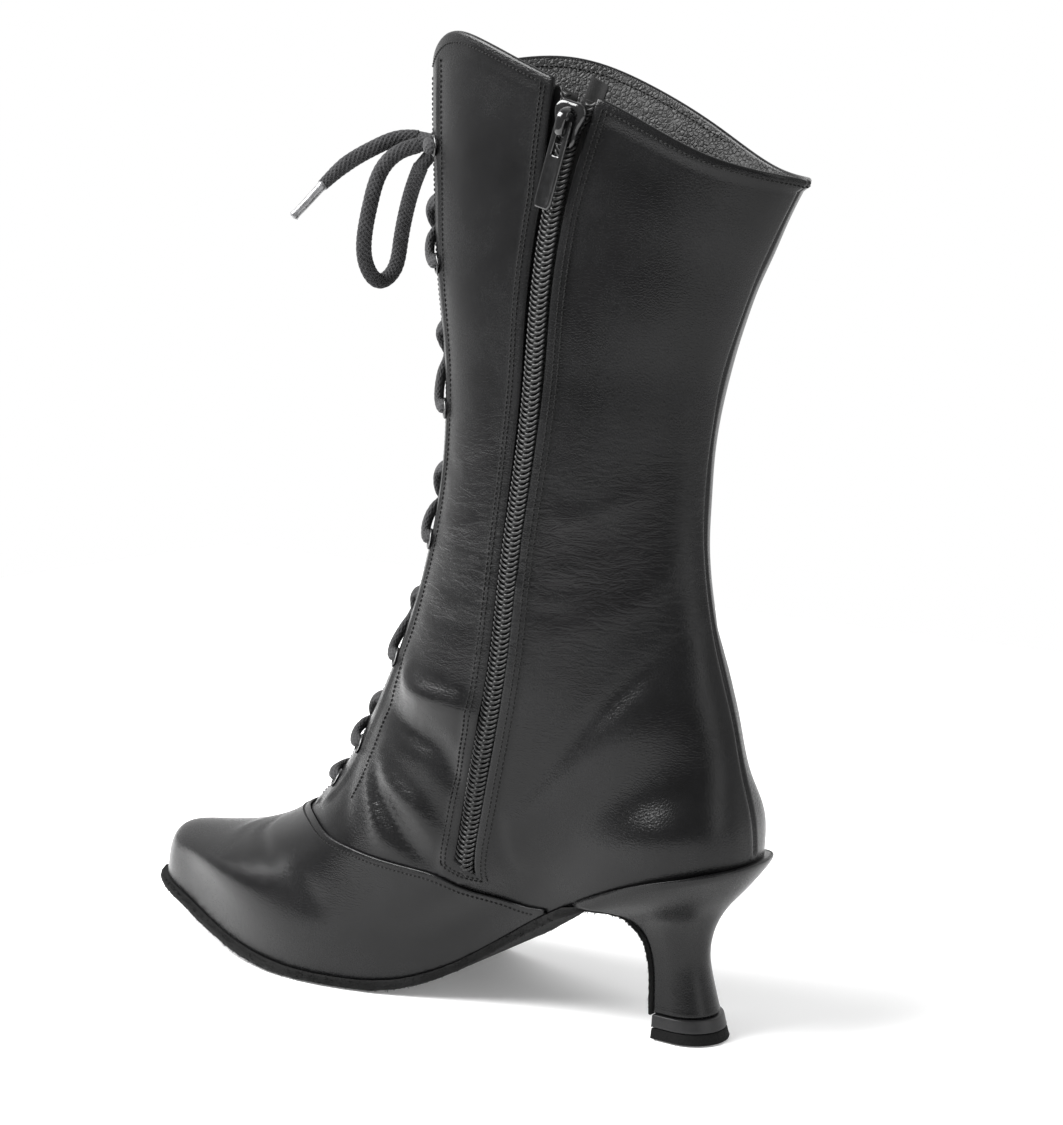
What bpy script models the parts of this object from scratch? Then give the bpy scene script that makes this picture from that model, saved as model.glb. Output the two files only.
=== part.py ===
"""Right dance boot with a flared heel, an inner side zip and a laced front, one named object per sub-part.

Metres, +Z up, toe towards -Y, inner side of the foot towards +X. Sizes are written in millimetres times MM.
"""
import math

import bmesh
import bpy
import numpy as np
from mathutils import Vector

MM = 0.001

# Driving sizes of the last, in millimetres. "along" runs forward from the back of the heel seat.
LENGTH = 250.6
BACK_Y = 125.0
CENTRE_X = 1.64

# Feather line seen from above: inner side positive, from the heel's back round by the inner side.
OUTLINE = (
    (0, 4), (15, 8.5), (24, 23), (23.5, 49.5), (18.5, 79), (21.5, 106.5), (31, 136), (35.5, 164), (29, 197),
    (16.5, 228.5), (9, 244.6), (-2, LENGTH), (-13, 244.6), (-27, 226.5), (-37.5, 194), (-40.5, 164),
    (-37, 133), (-30, 100.5), (-25.5, 66), (-24.5, 25), (-15, 8.5),
)
HEEL_BACK = OUTLINE[0][1]
# Feather line seen from the side: along, height.
BOTTOM = (
    (2, 62.4), (27, 56.6), (51.5, 46.8), (76, 33), (98.5, 17.7), (116.5, 8.1), (132, 4.2), (148, 3.5),
    (164, 3.6), (192, 5.8), (221.5, 10.7), (LENGTH, 17.2),
)
# Girth rings above the feather wall: level, back along, back height, front along, front height, share of the
# arch, then half widths at the back, the two thirds and the front for the inner and the outer side.
RINGS = (
    (28, 8.9, 88.2, 238.4, 40.2, 1.0, (50, 29, 38, 30), (50, 33, 41.5, 30)),
    (50, 14.0, 108.1, 213.9, 52.3, 0.9, (43, 31, 35, 30), (43, 33, 37, 30)),
    (75, 21.3, 131.8, 180.4, 71.7, 0.7, (34, 32, 34, 27), (34, 33, 34, 27)),
    (105, 26.2, 159.7, 151.5, 106.5, 0.4, (29, 31, 33, 27), (29, 31, 33, 27)),
    (140, 26.2, 187.7, 132.0, 150.2, 0.15, (27, 30, 31, 27), (27, 30, 31, 27)),
    (180, 22.1, 215.9, 124.5, 196.5, 0.0, (29, 30, 31, 28), (29, 30, 31, 28)),
    (220, 13.5, 242.2, 129.1, 243.3, 0.0, (31, 31, 31, 29), (31, 31, 31, 29)),
    (285, -2.9, 275.7, 133.5, 316.2, 0.0, (33, 32, 32, 30), (33, 32, 32, 30)),
)
WALL_RISE = 12.0
WALL_GROWTH = 1.6
WALL_BACK = 1.0
WALL_FRONT = -3.0
# Rise of the collar above a straight line from back to front: part of the way, inner side, outer side.
COLLAR_WAVE = (
    (0, 1.2, 1.2), (0.15, 1.0, -1.5), (0.35, 6.5, 3.8), (0.55, 9.5, 9.3), (0.75, 12.3, 10.1), (0.9, 8.0, 3.0),
    (1, -5, -5),
)
LEVELS = (0.0, WALL_RISE) + tuple(row[0] for row in RINGS)


def bends(knots, values):
    """Second derivatives of the natural cubic spline through values at knots."""
    knots = np.asarray(knots, float)
    count = len(knots)
    step = np.diff(knots)
    system = np.eye(count)
    right = np.zeros_like(values)
    for i in range(1, count - 1):
        system[i, i - 1:i + 2] = step[i - 1], 2 * (step[i - 1] + step[i]), step[i]
        right[i] = 6 * ((values[i + 1] - values[i]) / step[i] - (values[i] - values[i - 1]) / step[i - 1])
    return np.linalg.solve(system, right.reshape(count, -1)).reshape(values.shape)


def spline(knots, values, at):
    """Natural cubic spline; an entry of at reads its own column where values holds one for each entry."""
    knots = np.asarray(knots, float)
    values = np.asarray(values, float)
    at = np.asarray(at, float)
    curve = bends(knots, values)
    i = np.clip(np.searchsorted(knots, at, side="right") - 1, 0, len(knots) - 2)
    step = knots[i + 1] - knots[i]
    low = (knots[i + 1] - at) / step
    high = (at - knots[i]) / step
    own = (np.arange(len(at)),) if values.ndim > 2 else ()
    if values.ndim > 1:
        low, high, step = low[:, None], high[:, None], step[:, None]
    first, second = values[(i, *own)], values[(i + 1, *own)]
    bend_1, bend_2 = curve[(i, *own)], curve[(i + 1, *own)]
    return low * first + high * second + ((low**3 - low) * bend_1 + (high**3 - high) * bend_2) * step**2 / 6


def outline_halves():
    """The inner and the outer half of the feather line, each from heel to toe, as (along, x) tables."""
    corner = np.array(OUTLINE, float)
    lap = np.concatenate([corner[-4:], corner, corner[:5]])
    run = np.concatenate([[0], np.cumsum(np.linalg.norm(np.diff(lap, axis=0), axis=1) ** 0.5)])
    line = spline(run, lap, np.linspace(run[4], run[4 + len(corner)], 4000))
    tip = np.argmax(line[:, 1])
    return line[:tip + 1, ::-1], line[tip:, ::-1][::-1]


INNER_EDGE, OUTER_EDGE = outline_halves()


def edge_x(along, inner):
    table = INNER_EDGE if inner else OUTER_EDGE
    return np.interp(along, np.maximum.accumulate(table[:, 0]), table[:, 1])


def bottom(along):
    return spline(*np.array(BOTTOM, float).T, np.asarray(along, float))


def arch(along):
    """How far the feather line hangs below the straight line from heel to toe."""
    ends = np.array((BOTTOM[0], BOTTOM[-1]), float)
    along = np.clip(along, *ends[:, 0])
    return bottom(along) - np.interp(along, *ends.T)


def feather_ring(part, inner, rise, growth, back, front):
    along = HEEL_BACK + part * (LENGTH - HEEL_BACK)
    edges = edge_x(along, True), edge_x(along, False)
    middle = (edges[0] + edges[1]) / 2
    half = (edges[0] - edges[1]) / 2
    x = middle + np.where(inner, 1, -1) * half * (1 + growth / np.maximum(half, 14))
    return x, along + back * (1 - part) + front * part, bottom(along) + rise


def girth_ring(part, inner, row):
    level, back, back_height, front, front_height, share, inner_widths, outer_widths = row
    thirds = np.stack([
        (1 - part) * (2 / 3 - part) * (1 / 3 - part) * 4.5,
        part * (1 - part) * (2 / 3 - part) * 13.5,
        part * (1 - part) * (part - 1 / 3) * 13.5,
        part * (part - 1 / 3) * (part - 2 / 3) * 4.5,
    ])
    half = np.where(inner, np.array(inner_widths) @ thirds, -(np.array(outer_widths) @ thirds))
    along = back + (front - back) * part
    height = back_height + (front_height - back_height) * part + share * arch(along)
    if level == LEVELS[-1]:
        knots, inner_wave, outer_wave = np.array(COLLAR_WAVE, float).T
        height = height + np.where(inner, spline(knots, inner_wave, part), spline(knots, outer_wave, part))
    return half * np.sqrt(np.maximum(4 * part * (1 - part), 0)), along, height


def skin(turn, level):
    """Points of the upper's outer skin. turn: 0 front, +1 and -1 back, positive on the inner side."""
    turn = np.mod(np.asarray(turn, float) + 1, 2) - 1
    part = (1 + np.cos(np.pi * turn)) / 2
    inner = turn >= 0
    rings = [
        feather_ring(part, inner, 0, 0, 0, 0),
        feather_ring(part, inner, WALL_RISE, WALL_GROWTH, WALL_BACK, WALL_FRONT),
    ]
    rings += [girth_ring(part, inner, row) for row in RINGS]
    table = np.stack([np.stack(ring, -1) for ring in rings])
    x, along, height = np.moveaxis(spline(LEVELS, table, level), -1, 0)
    return np.stack([x + CENTRE_X, BACK_Y - along, height], -1)


def skin_out(turn, level, out):
    """Points at the distance out from the skin along its normal."""
    turn, level, out = (np.ravel(v).astype(float) for v in np.broadcast_arrays(turn, level, out))
    near = 0.004
    rise = 0.4
    across = skin(turn + near, level) - skin(turn - near, level)
    upward = skin(turn, np.minimum(level + rise, LEVELS[-1])) - skin(turn, np.maximum(level - rise, 0))
    normal = np.cross(across, upward)
    normal /= np.linalg.norm(normal, axis=1, keepdims=True)
    return skin(turn, level) + normal * out[:, None]


# Rows and columns of the upper.
VAMP_ROWS = 6
SHAFT_ROWS = 18
ROWS = VAMP_ROWS + SHAFT_ROWS
FIRST_OPEN_ROW = VAMP_ROWS
SPANS = (15, 2, 8, 1, 8)
THROAT_SPAN = 1
ZIP_SPAN = 3

# Leather and its gaps.
WALL = 2.0
GAP = 0.3
VAMP_THICKNESS = 1.0
TONGUE_THICKNESS = 1.8
TONGUE_GAP = 1.7
TONGUE_HALF = 22.0
TONGUE_LEVELS = (66.0, 279.0)
THROAT_HALF = (5.0, 8.5)
TOE_TURN = 0.05

# Vamp edge: turn from the front, level.
VAMP_EDGE = (
    (0, 74), (0.12, 73), (0.25, 68), (0.337, 60), (0.447, 51.5), (0.513, 43.5), (0.57, 31), (0.613, 16),
    (0.643, 7.5), (0.667, 5), (1, 5),
)
VAMP_END_TURN = 0.65
# Zip line on the inner side: level, turn.
ZIP_LINE = (
    (0, 0.585), (35, 0.573), (68, 0.553), (99, 0.537), (129, 0.507), (180, 0.493), (235, 0.503), (285, 0.532),
)
# Half width of the slot for the zip, which opens above the slider: level, half width.
ZIP_SLOT_HALF = ((0, 5.0), (248, 5.0), (285, 8.4))
CHAIN_LEVELS = (48.0, 281.0)
TAPE_LEVELS = (36.0, 281.0)
CHAIN_HALF = 3.5
CHAIN_TOP = 0.5
CHAIN_BOTTOM = -1.5
TAPE_HALF = 12.0
TAPE_GAP = 0.8
TAPE_THICKNESS = 0.6


def vamp_level(turn):
    knots = np.array(VAMP_EDGE, float)
    return np.interp(np.abs(turn), knots[:, 0], knots[:, 1])


def row_level(row, turn):
    """Level of a grid row: the vamp edge is row VAMP_ROWS, the collar the last."""
    edge = vamp_level(turn)
    low = edge * row / VAMP_ROWS
    high = edge + (LEVELS[-1] - edge) * (row - VAMP_ROWS) / SHAFT_ROWS
    return np.where(row <= VAMP_ROWS, low, high)


def turn_width(turn, level):
    """Millimetres on the skin for one unit of turn."""
    near = 0.01
    ends = skin(np.array([turn - near, turn + near]), np.array([level, level], float))
    return np.linalg.norm(ends[1] - ends[0]) / (2 * near)


def zip_turn(level):
    return float(spline(*np.array(ZIP_LINE, float).T, np.array([level], float))[0])


def throat_turn(level):
    """Turn of the facing edge at this level."""
    half = np.interp(level, (70, LEVELS[-1]), THROAT_HALF)
    return half / turn_width(0.0, level)


def zip_level(row):
    """Level at which a grid row meets the zip line."""
    level = 0.0
    for _ in range(6):
        level = float(row_level(np.array(row), np.array(zip_turn(level))))
    return level


def row_turns(row):
    """Turns of the columns in a row, with columns on the facing edges and on the zip's slot edges."""
    front_level = float(row_level(np.array(max(row, VAMP_ROWS)), np.array(0.0)))
    facing = throat_turn(front_level)
    if row < VAMP_ROWS:
        facing = np.interp(row, (0, VAMP_ROWS), (TOE_TURN, facing))
    side_level = zip_level(row)
    middle = zip_turn(side_level)
    slot = np.interp(side_level, *np.array(ZIP_SLOT_HALF).T) / turn_width(middle, side_level)
    marks = (-1.0, -facing, facing, middle - slot, middle + slot, 1.0)
    turns = [np.linspace(a, b, count, endpoint=False) for a, b, count in zip(marks, marks[1:], SPANS)]
    return np.concatenate(turns)


def upper_grid():
    """Turns and levels of the upper's grid, a row for each level and a column for each turn."""
    turns = np.stack([row_turns(row) for row in range(ROWS + 1)])
    rows = np.repeat(np.arange(ROWS + 1)[:, None], turns.shape[1], 1)
    return turns, row_level(rows, turns)


def sheet_points(turns, levels, out):
    return skin_out(turns, levels, out).reshape(*np.shape(turns), 3)


# Making objects.


def make_object(name, points, faces, material):
    """A mesh object from points in millimetres, with its faces turned outwards."""
    mesh = bpy.data.meshes.new(name)
    mesh.from_pydata([tuple(p) for p in np.asarray(points) * MM], [], faces)
    shape = bmesh.new()
    shape.from_mesh(mesh)
    loose = [v for v in shape.verts if not v.link_faces]
    bmesh.ops.delete(shape, geom=loose, context="VERTS")
    bmesh.ops.recalc_face_normals(shape, faces=shape.faces)
    shape.to_mesh(mesh)
    shape.free()
    mesh.materials.append(material)
    made = bpy.data.objects.new(name, mesh)
    bpy.context.collection.objects.link(made)
    return made


def thick_sheet(name, top, under, material, kept=None, ring=False):
    """One closed solid between two grids of points; kept marks the cells that are there."""
    rows, columns = top.shape[:2]
    across = columns if ring else columns - 1
    if kept is None:
        kept = np.ones((rows - 1, across), bool)
    count = rows * columns
    faces = []
    edges = {}
    for i in range(rows - 1):
        for j in range(across):
            if not kept[i, j]:
                continue
            after = (j + 1) % columns
            cell = (i * columns + j, i * columns + after, (i + 1) * columns + after, (i + 1) * columns + j)
            for corners in (cell[:3], (cell[0], *cell[2:])):
                faces.append(corners)
                faces.append(tuple(count + k for k in reversed(corners)))
            for a, b in zip(cell, cell[1:] + cell[:1]):
                if (b, a) in edges:
                    del edges[(b, a)]
                else:
                    edges[(a, b)] = True
    faces += [(b, a, count + a, count + b) for a, b in edges]
    return make_object(name, np.concatenate([top.reshape(-1, 3), under.reshape(-1, 3)]), faces, material)


def loft(name, rings, material):
    """One closed solid through a list of closed rings with the same number of points, capped at both ends."""
    rings = np.asarray(rings)
    many = rings.shape[1]
    faces = [tuple(range(many)), tuple(reversed(range((len(rings) - 1) * many, len(rings) * many)))]
    for i in range(len(rings) - 1):
        for j in range(many):
            after = (j + 1) % many
            faces.append((i * many + j, (i + 1) * many + j, (i + 1) * many + after, i * many + after))
    return make_object(name, rings.reshape(-1, 3), faces, material)


def frames(points):
    """Two cross directions at each point of a path, carried along without twist."""
    points = np.asarray(points, float)
    along = np.gradient(points, axis=0)
    along /= np.linalg.norm(along, axis=1, keepdims=True)
    side = np.cross(along[0], (0.3, 0.5, 0.8))
    sides = []
    for direction in along:
        side = side - direction * (side @ direction)
        side = side / np.linalg.norm(side)
        sides.append(side)
    sides = np.array(sides)
    return sides, np.cross(along, sides)


def tube(name, points, radius, sides, material):
    one, two = frames(points)
    angle = np.arange(sides) * 2 * np.pi / sides
    rings = []
    for point, first, second in zip(points, one, two):
        rings.append(point + radius * (np.cos(angle)[:, None] * first + np.sin(angle)[:, None] * second))
    return loft(name, rings, material)


def join_solids(target, other):
    """Adds other to target as one solid and keeps other as a hidden helper."""
    union = target.modifiers.new("joined", "BOOLEAN")
    union.operation = "UNION"
    union.solver = "EXACT"
    union.object = other
    other.hide_render = True
    other.display_type = "WIRE"


def smooth_path(route, count):
    """Points evenly along a smooth curve through the route points."""
    route = np.asarray(route, float)
    run = np.concatenate([[0], np.cumsum(np.linalg.norm(np.diff(route, axis=0), axis=1))])
    fine = spline(run, route, np.linspace(0, run[-1], 400))
    length = np.concatenate([[0], np.cumsum(np.linalg.norm(np.diff(fine, axis=0), axis=1))])
    even = np.linspace(0, length[-1], count)
    return np.stack([np.interp(even, length, fine[:, k]) for k in range(3)], -1)


def make_material(name, colour, roughness, metallic=0.0):
    material = bpy.data.materials.new(name)
    material.use_nodes = True
    shader = material.node_tree.nodes["Principled BSDF"]
    shader.inputs["Base Color"].default_value = (*colour, 1)
    shader.inputs["Roughness"].default_value = roughness
    shader.inputs["Metallic"].default_value = metallic
    material.diffuse_color = (*colour, 1)
    return material


def clear_scene():
    for old in list(bpy.data.objects):
        bpy.data.objects.remove(old, do_unlink=True)


# Upper, vamp, tongue and insole.


def build_upper(leather):
    turns, levels = upper_grid()
    columns = turns.shape[1]
    kept = np.ones((ROWS, columns), bool)
    starts = np.cumsum((0,) + SPANS)
    for span in (THROAT_SPAN, ZIP_SPAN):
        kept[FIRST_OPEN_ROW:, starts[span]:starts[span + 1]] = False
    outer = sheet_points(turns, levels, 0)
    inner = sheet_points(turns, levels, -WALL)
    thick_sheet("upper", outer, inner, leather, kept, ring=True)


def build_vamp(leather):
    turns, levels = upper_grid()
    turns = turns[:VAMP_ROWS + 1]
    levels = levels[:VAMP_ROWS + 1]
    used = np.abs(turns[VAMP_ROWS]) < VAMP_END_TURN
    turns = turns[:, used]
    levels = levels[:, used]
    outer = sheet_points(turns, levels, GAP + VAMP_THICKNESS)
    inner = sheet_points(turns, levels, GAP)
    thick_sheet("vamp", outer, inner, leather)


def strip_grid(middle, half, levels, columns):
    """Turns and levels of a strip of constant width that follows the turn middle(level)."""
    turns = []
    for level in levels:
        centre = middle(level)
        reach = half / turn_width(centre, level)
        turns.append(np.linspace(centre - reach, centre + reach, columns))
    turns = np.array(turns)
    return turns, np.repeat(np.asarray(levels, float)[:, None], columns, 1)


def build_tongue(leather):
    turns, levels = strip_grid(lambda level: 0.0, TONGUE_HALF, np.linspace(*TONGUE_LEVELS, 16), 9)
    outer = sheet_points(turns, levels, -WALL - TONGUE_GAP)
    inner = sheet_points(turns, levels, -WALL - TONGUE_GAP - TONGUE_THICKNESS)
    thick_sheet("tongue", outer, inner, leather)


# Sole, insole and heel.
SOLE_THICKNESS = 3.4
SOLE_GAP = 0.6
SOLE_EDGE = 2.2
SOLE_BACK = 63.0
BALL_BACK = 160.0
INSOLE_INSET = 4.2
INSOLE_ENDS = (10.5, 245.0)
INSOLE_THICKNESS = 2.0
FLAP_THICKNESS = 1.6
# Heel sections from the seat down: back along, back height, breast along, breast height, half width, share of
# the D shape. The first two follow the seat, and their heights are drops below it.
HEEL = (
    (2.2, 0.0, 57.0, 0.0, 21.5, 0.0),
    (2.0, 2.2, 55.5, 2.2, 20.5, 0.0),
    (8.3, 51.0, 44.8, 42.2, 18.0, 0.5),
    (14.9, 43.0, 39.8, 39.0, 14.6, 0.9),
    (18.9, 34.9, 36.4, 33.6, 11.8, 1.0),
    (19.9, 27.8, 34.9, 27.4, 10.0, 1.0),
    (18.8, 20.4, 33.8, 20.4, 9.8, 1.0),
    (15.4, 8.2, 32.8, 8.2, 11.0, 1.0),
)
SEAT_ROWS = 2
HEEL_STEPS = 13
HEEL_GROWTH = 1.8
LIFT_TOP = 7.9
LIFT_GROWTH = 0.7
TIP_TOP = 3.5
HEEL_FOOT = (14.2, 32.8, 11.0)
TIP_FOOT = (11.9, 32.6, 12.0)
HEEL_POINTS = 22
BREAST_POINTS = 4


def sole_rows():
    """Stations of the sole from the toe back to the waist, closer together at the toe's round end."""
    quarter = np.linspace(0, np.pi / 2, 9)[:-1]
    toe = LENGTH - (LENGTH - BALL_BACK) * (1 - np.cos(quarter))
    return np.concatenate([toe, np.linspace(BALL_BACK, SOLE_BACK, 9)])


def flat_outline(along, growth):
    """Half outline places of the feather line grown by growth, for both sides."""
    inside = np.clip(along, HEEL_BACK, LENGTH - 0.2)
    edges = np.array([edge_x(inside, True), edge_x(inside, False)])
    middle = edges.mean(0)
    half = (edges[0] - edges[1]) / 2
    return middle, half + growth


def world(x, along, height):
    return np.stack(np.broadcast_arrays(x + CENTRE_X, BACK_Y - np.asarray(along, float), height), -1)


def build_outsole(suede):
    rows_top = []
    rows_under = []
    across = np.linspace(-1, 1, 7)
    stations = sole_rows()
    for along in stations:
        middle, half = flat_outline(along, SOLE_EDGE)
        reach = along + (SOLE_EDGE if along > LENGTH - 1 else 0.0)
        x = middle + half * across
        seat = float(bottom(np.array([along]))[0])
        rows_top.append(world(x, reach, seat - SOLE_GAP))
        rows_under.append(world(x, reach, max(0.0, seat - SOLE_GAP - SOLE_THICKNESS)))
    path = heel_rows()[SEAT_ROWS:, 2:5]
    slope = np.gradient(path[:, :2], axis=0)
    slope /= np.linalg.norm(slope, axis=1, keepdims=True)
    out = np.column_stack([-slope[:, 1], slope[:, 0]])
    for (along, height, half), (forward, up) in zip(path, out):
        x = half * across
        rows_top.append(world(x, along + forward * GAP, height + up * GAP))
        reach = GAP + FLAP_THICKNESS
        rows_under.append(world(x, along + forward * reach, height + up * reach))
    thick_sheet("outsole", np.array(rows_top), np.array(rows_under), suede)


def build_insole(board):
    across = np.linspace(-1, 1, 5)
    part = (1 + np.cos(np.linspace(0, np.pi, 24))) / 2
    stations = np.interp(part, (0, 1), INSOLE_ENDS)
    middle, half = flat_outline(stations, -INSOLE_INSET)
    x = middle[:, None] + half[:, None] * across
    seat = bottom(stations)[:, None]
    low = world(x, stations[:, None], seat + GAP)
    high = world(x, stations[:, None], seat + GAP + INSOLE_THICKNESS)
    thick_sheet("insole", high, low, board)


def d_shape(part):
    """Half width of a D-shaped section at a part of the way from its round back to its flat front."""
    round_part = 0.62
    return np.where(part < round_part, np.sqrt(np.maximum(0, 1 - (1 - part / round_part) ** 2)), 1.0)


def heel_rows():
    """The heel's sections at even steps, with the seat rows' drops turned into heights."""
    table = np.array(HEEL, float)
    for row in table[:SEAT_ROWS]:
        row[1] = bottom(np.array([row[0]]))[0] - GAP - row[1]
        row[3] = bottom(np.array([row[2]]))[0] - GAP - row[3]
    steps = np.linspace(0, len(table) - 1, HEEL_STEPS)
    rows = spline(np.arange(len(table)), table, steps)
    rows[:, 5] = np.where(steps <= SEAT_ROWS - 1, 0, np.clip(rows[:, 5], 0, 1))
    return rows


def heel_ring(back, back_height, front, front_height, half, share):
    """One closed section of the heel: round the back from corner to corner, then over the breast."""
    turn = np.linspace(-1, 1, HEEL_POINTS)
    part = 1 - np.cos(np.pi / 2 * turn)
    along = back + (front - back) * part
    seat_middle, seat_half = flat_outline(np.clip(along - back + HEEL_BACK, HEEL_BACK, LENGTH), 0)
    seat_x = seat_middle + np.sign(turn) * seat_half * (1 + HEEL_GROWTH / np.maximum(seat_half, 14))
    block_x = np.sign(turn) * half * d_shape(part)
    x = seat_x * (1 - share) + block_x * share
    straight = np.interp(part, (0, 1), bottom(np.array([back, front])))
    height = back_height + (front_height - back_height) * part + (1 - share) * (bottom(along) - straight)
    side = world(x, along, height)
    over = np.linspace(0, 1, BREAST_POINTS + 2)[1:-1, None]
    return np.concatenate([side, side[-1] + (side[0] - side[-1]) * over])


def build_heel(cover, stack, rubber):
    loft("heel", [heel_ring(*row) for row in heel_rows()], cover)
    back, front, half = HEEL_FOOT
    tip_back, tip_front, tip_half = TIP_FOOT
    middle = [(a + b) / 2 for a, b in zip(HEEL_FOOT, TIP_FOOT)]
    lift = [(back, front, half, LIFT_TOP), (*middle, TIP_TOP + GAP)]
    tip = [(*middle, TIP_TOP), (tip_back, tip_front, tip_half, 0.0)]
    for name, levels, material in (("heel_lift", lift, stack), ("heel_tip", tip, rubber)):
        rings = [heel_ring(b, z, f, z, w + LIFT_GROWTH, 1.0) for b, f, w, z in levels]
        loft(name, rings, material)


# Zip, slider and pull tab.
SLIDER_LEVEL = 274.0
SLIDER_LENGTH = 14.0
SLIDER_HALF_TOP = 5.4
SLIDER_HALF_FOOT = 4.2
SLIDER_FOOT = 0.9
SLIDER_TOP = 3.4
BRIDGE_HALF_LENGTH = 3.6
BRIDGE_INNER_HALF = 2.1
BRIDGE_HALF_WIDTH = 1.1
BRIDGE_UNDER = 6.3
BRIDGE_TOP = 7.7
BRIDGE_SINK = 0.8
PULL_AXIS = 4.7
PULL_HALF = 2.9
PULL_THICKNESS = 1.4
PULL_BAR = 1.0
PULL_WINDOW_HALF = 1.8
PULL_WINDOW_LENGTH = 10.5
PULL_LENGTH = 27.0


def build_zip(cloth, coil):
    turns, grid = strip_grid(zip_turn, TAPE_HALF, np.linspace(*TAPE_LEVELS, 15), 5)
    outer = sheet_points(turns, grid, -WALL - TAPE_GAP)
    inner = sheet_points(turns, grid, -WALL - TAPE_GAP - TAPE_THICKNESS)
    thick_sheet("zip_tape", outer, inner, cloth)
    turns, grid = strip_grid(zip_turn, CHAIN_HALF, np.linspace(*CHAIN_LEVELS, 15), 5)
    crown = np.array([-0.7, 0.0, 0.0, 0.0, -0.7])
    outer = sheet_points(turns, grid, CHAIN_TOP + crown)
    inner = sheet_points(turns, grid, CHAIN_BOTTOM)
    thick_sheet("zip_chain", outer, inner, coil)


def zip_place(level):
    """Place on the zip line with its axes as columns: across towards the back, up the zip, outwards."""
    turn = zip_turn(level)
    near = 0.5
    place = skin_out(turn, level, 0)[0]
    levels = np.array([level - near, level + near])
    ends = skin(np.array([zip_turn(one) for one in levels]), levels)
    up = ends[1] - ends[0]
    up /= np.linalg.norm(up)
    out = skin_out(turn, level, 1)[0] - place
    out -= up * (out @ up)
    out /= np.linalg.norm(out)
    return place, np.stack([np.cross(up, out), up, out], -1)


def box_rings(centre, axes, outline, low, high):
    """Two rings of an outline in the first two axes, at two heights on the third."""
    flat = np.asarray(outline, float)
    return [centre + flat @ axes[:, :2].T + axes[:, 2] * height for height in (low, high)]


def build_slider(metal):
    centre, axes = zip_place(SLIDER_LEVEL)
    half = SLIDER_LENGTH / 2
    wide, shoulder = SLIDER_HALF_TOP, SLIDER_HALF_TOP * 0.6
    plan = (
        (-SLIDER_HALF_FOOT, -half), (SLIDER_HALF_FOOT, -half), (wide, half * 0.2), (wide, half * 0.8),
        (shoulder, half), (-shoulder, half), (-wide, half * 0.8), (-wide, half * 0.2),
    )
    plate = loft("zip_slider", box_rings(centre, axes, plan, SLIDER_FOOT, SLIDER_TOP), metal)
    foot = SLIDER_TOP - BRIDGE_SINK
    inner, outer = BRIDGE_INNER_HALF, BRIDGE_HALF_LENGTH
    arch_plan = (
        (-outer, foot), (-inner, foot), (-inner, BRIDGE_UNDER), (inner, BRIDGE_UNDER), (inner, foot),
        (outer, foot), (outer, BRIDGE_TOP - 1), (outer - 1, BRIDGE_TOP), (-outer + 1, BRIDGE_TOP),
        (-outer, BRIDGE_TOP - 1),
    )
    turned = axes[:, (1, 2, 0)]
    rings = box_rings(centre, turned, arch_plan, -BRIDGE_HALF_WIDTH, BRIDGE_HALF_WIDTH)
    bridge = loft("slider_bridge", rings, metal)
    join_solids(plate, bridge)


def build_pull(metal):
    """The pull tab hangs from its top bar under the slider's bridge; its origin is on the bar's axis."""
    centre, axes = zip_place(SLIDER_LEVEL)
    hinge = centre + axes[:, 2] * PULL_AXIS
    across = np.array([-PULL_HALF, -PULL_WINDOW_HALF, PULL_WINDOW_HALF, PULL_HALF])
    end = PULL_WINDOW_LENGTH
    down = np.array([-PULL_BAR, PULL_BAR, end, PULL_LENGTH - 1.2, PULL_LENGTH])
    x, y = np.meshgrid(across, -down)
    x[-1] *= 0.8
    half = PULL_THICKNESS / 2
    top = np.stack([x, y, np.full_like(x, half)], -1) @ axes.T
    under = np.stack([x, y, np.full_like(x, -half)], -1) @ axes.T
    kept = np.ones((len(down) - 1, 3), bool)
    kept[1, 1] = False
    pull = thick_sheet("zip_pull", top, under, metal, kept)
    pull.location = Vector(hinge) * MM


# Eyelets and laces.
EYELET_LEVELS = (84.0, 94.0, 116.0, 146.0, 182.0, 224.0, 258.0)
EYELET_INSETS = (6.5, 10.0, 8.0, 7.0, 6.5, 6.5, 6.5)
EYELET_RADII = (2.2, 3.6)
EYELET_HEIGHTS = (0.45, 0.95)
EYELET_SIDES = 12
LACE_RADIUS = 2.0
LACE_OUT = 3.4
LACE_RISE = 1.6
LACE_SIDES = 8
DIVE_SHARE = 0.5
KNOT_LEVEL = 262.0
KNOT_OUT = 3.6
KNOT_SIDE = -3.0
KNOT_SIZE = (5.6, 3.6, 4.6)
BOW_RADIUS = 2.6
# Bow on the inner side, away from the knot: reach forward, drop, depth behind the loop.
BOW_LOOP = (
    (7.0, 1.0, 0), (13.3, 3.2, 0.5), (18.7, 7.9, 1.5), (23.4, 20.5, 3), (25.6, 33.0, 6), (24.8, 42.5, 11),
    (20.5, 47.5, 16.5), (16.2, 44.0, 20.5), (14.0, 34.9, 20.5), (11.6, 22.3, 15), (8.9, 13.5, 8),
    (6.5, 8.0, 1.5),
)
BOW_END = ((7.5, -1.5, 6.5), (13.3, -1.5, 7.5), (23, 2.2, 8), (32.7, 8.2, 8), (40.6, 15.6, 8))
BOW_TIP = ((41.2, 16.3, 8), (45.3, 20.9, 8), (50.4, 26.4, 8))
BOW_DIRECTION = math.radians(34)
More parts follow.
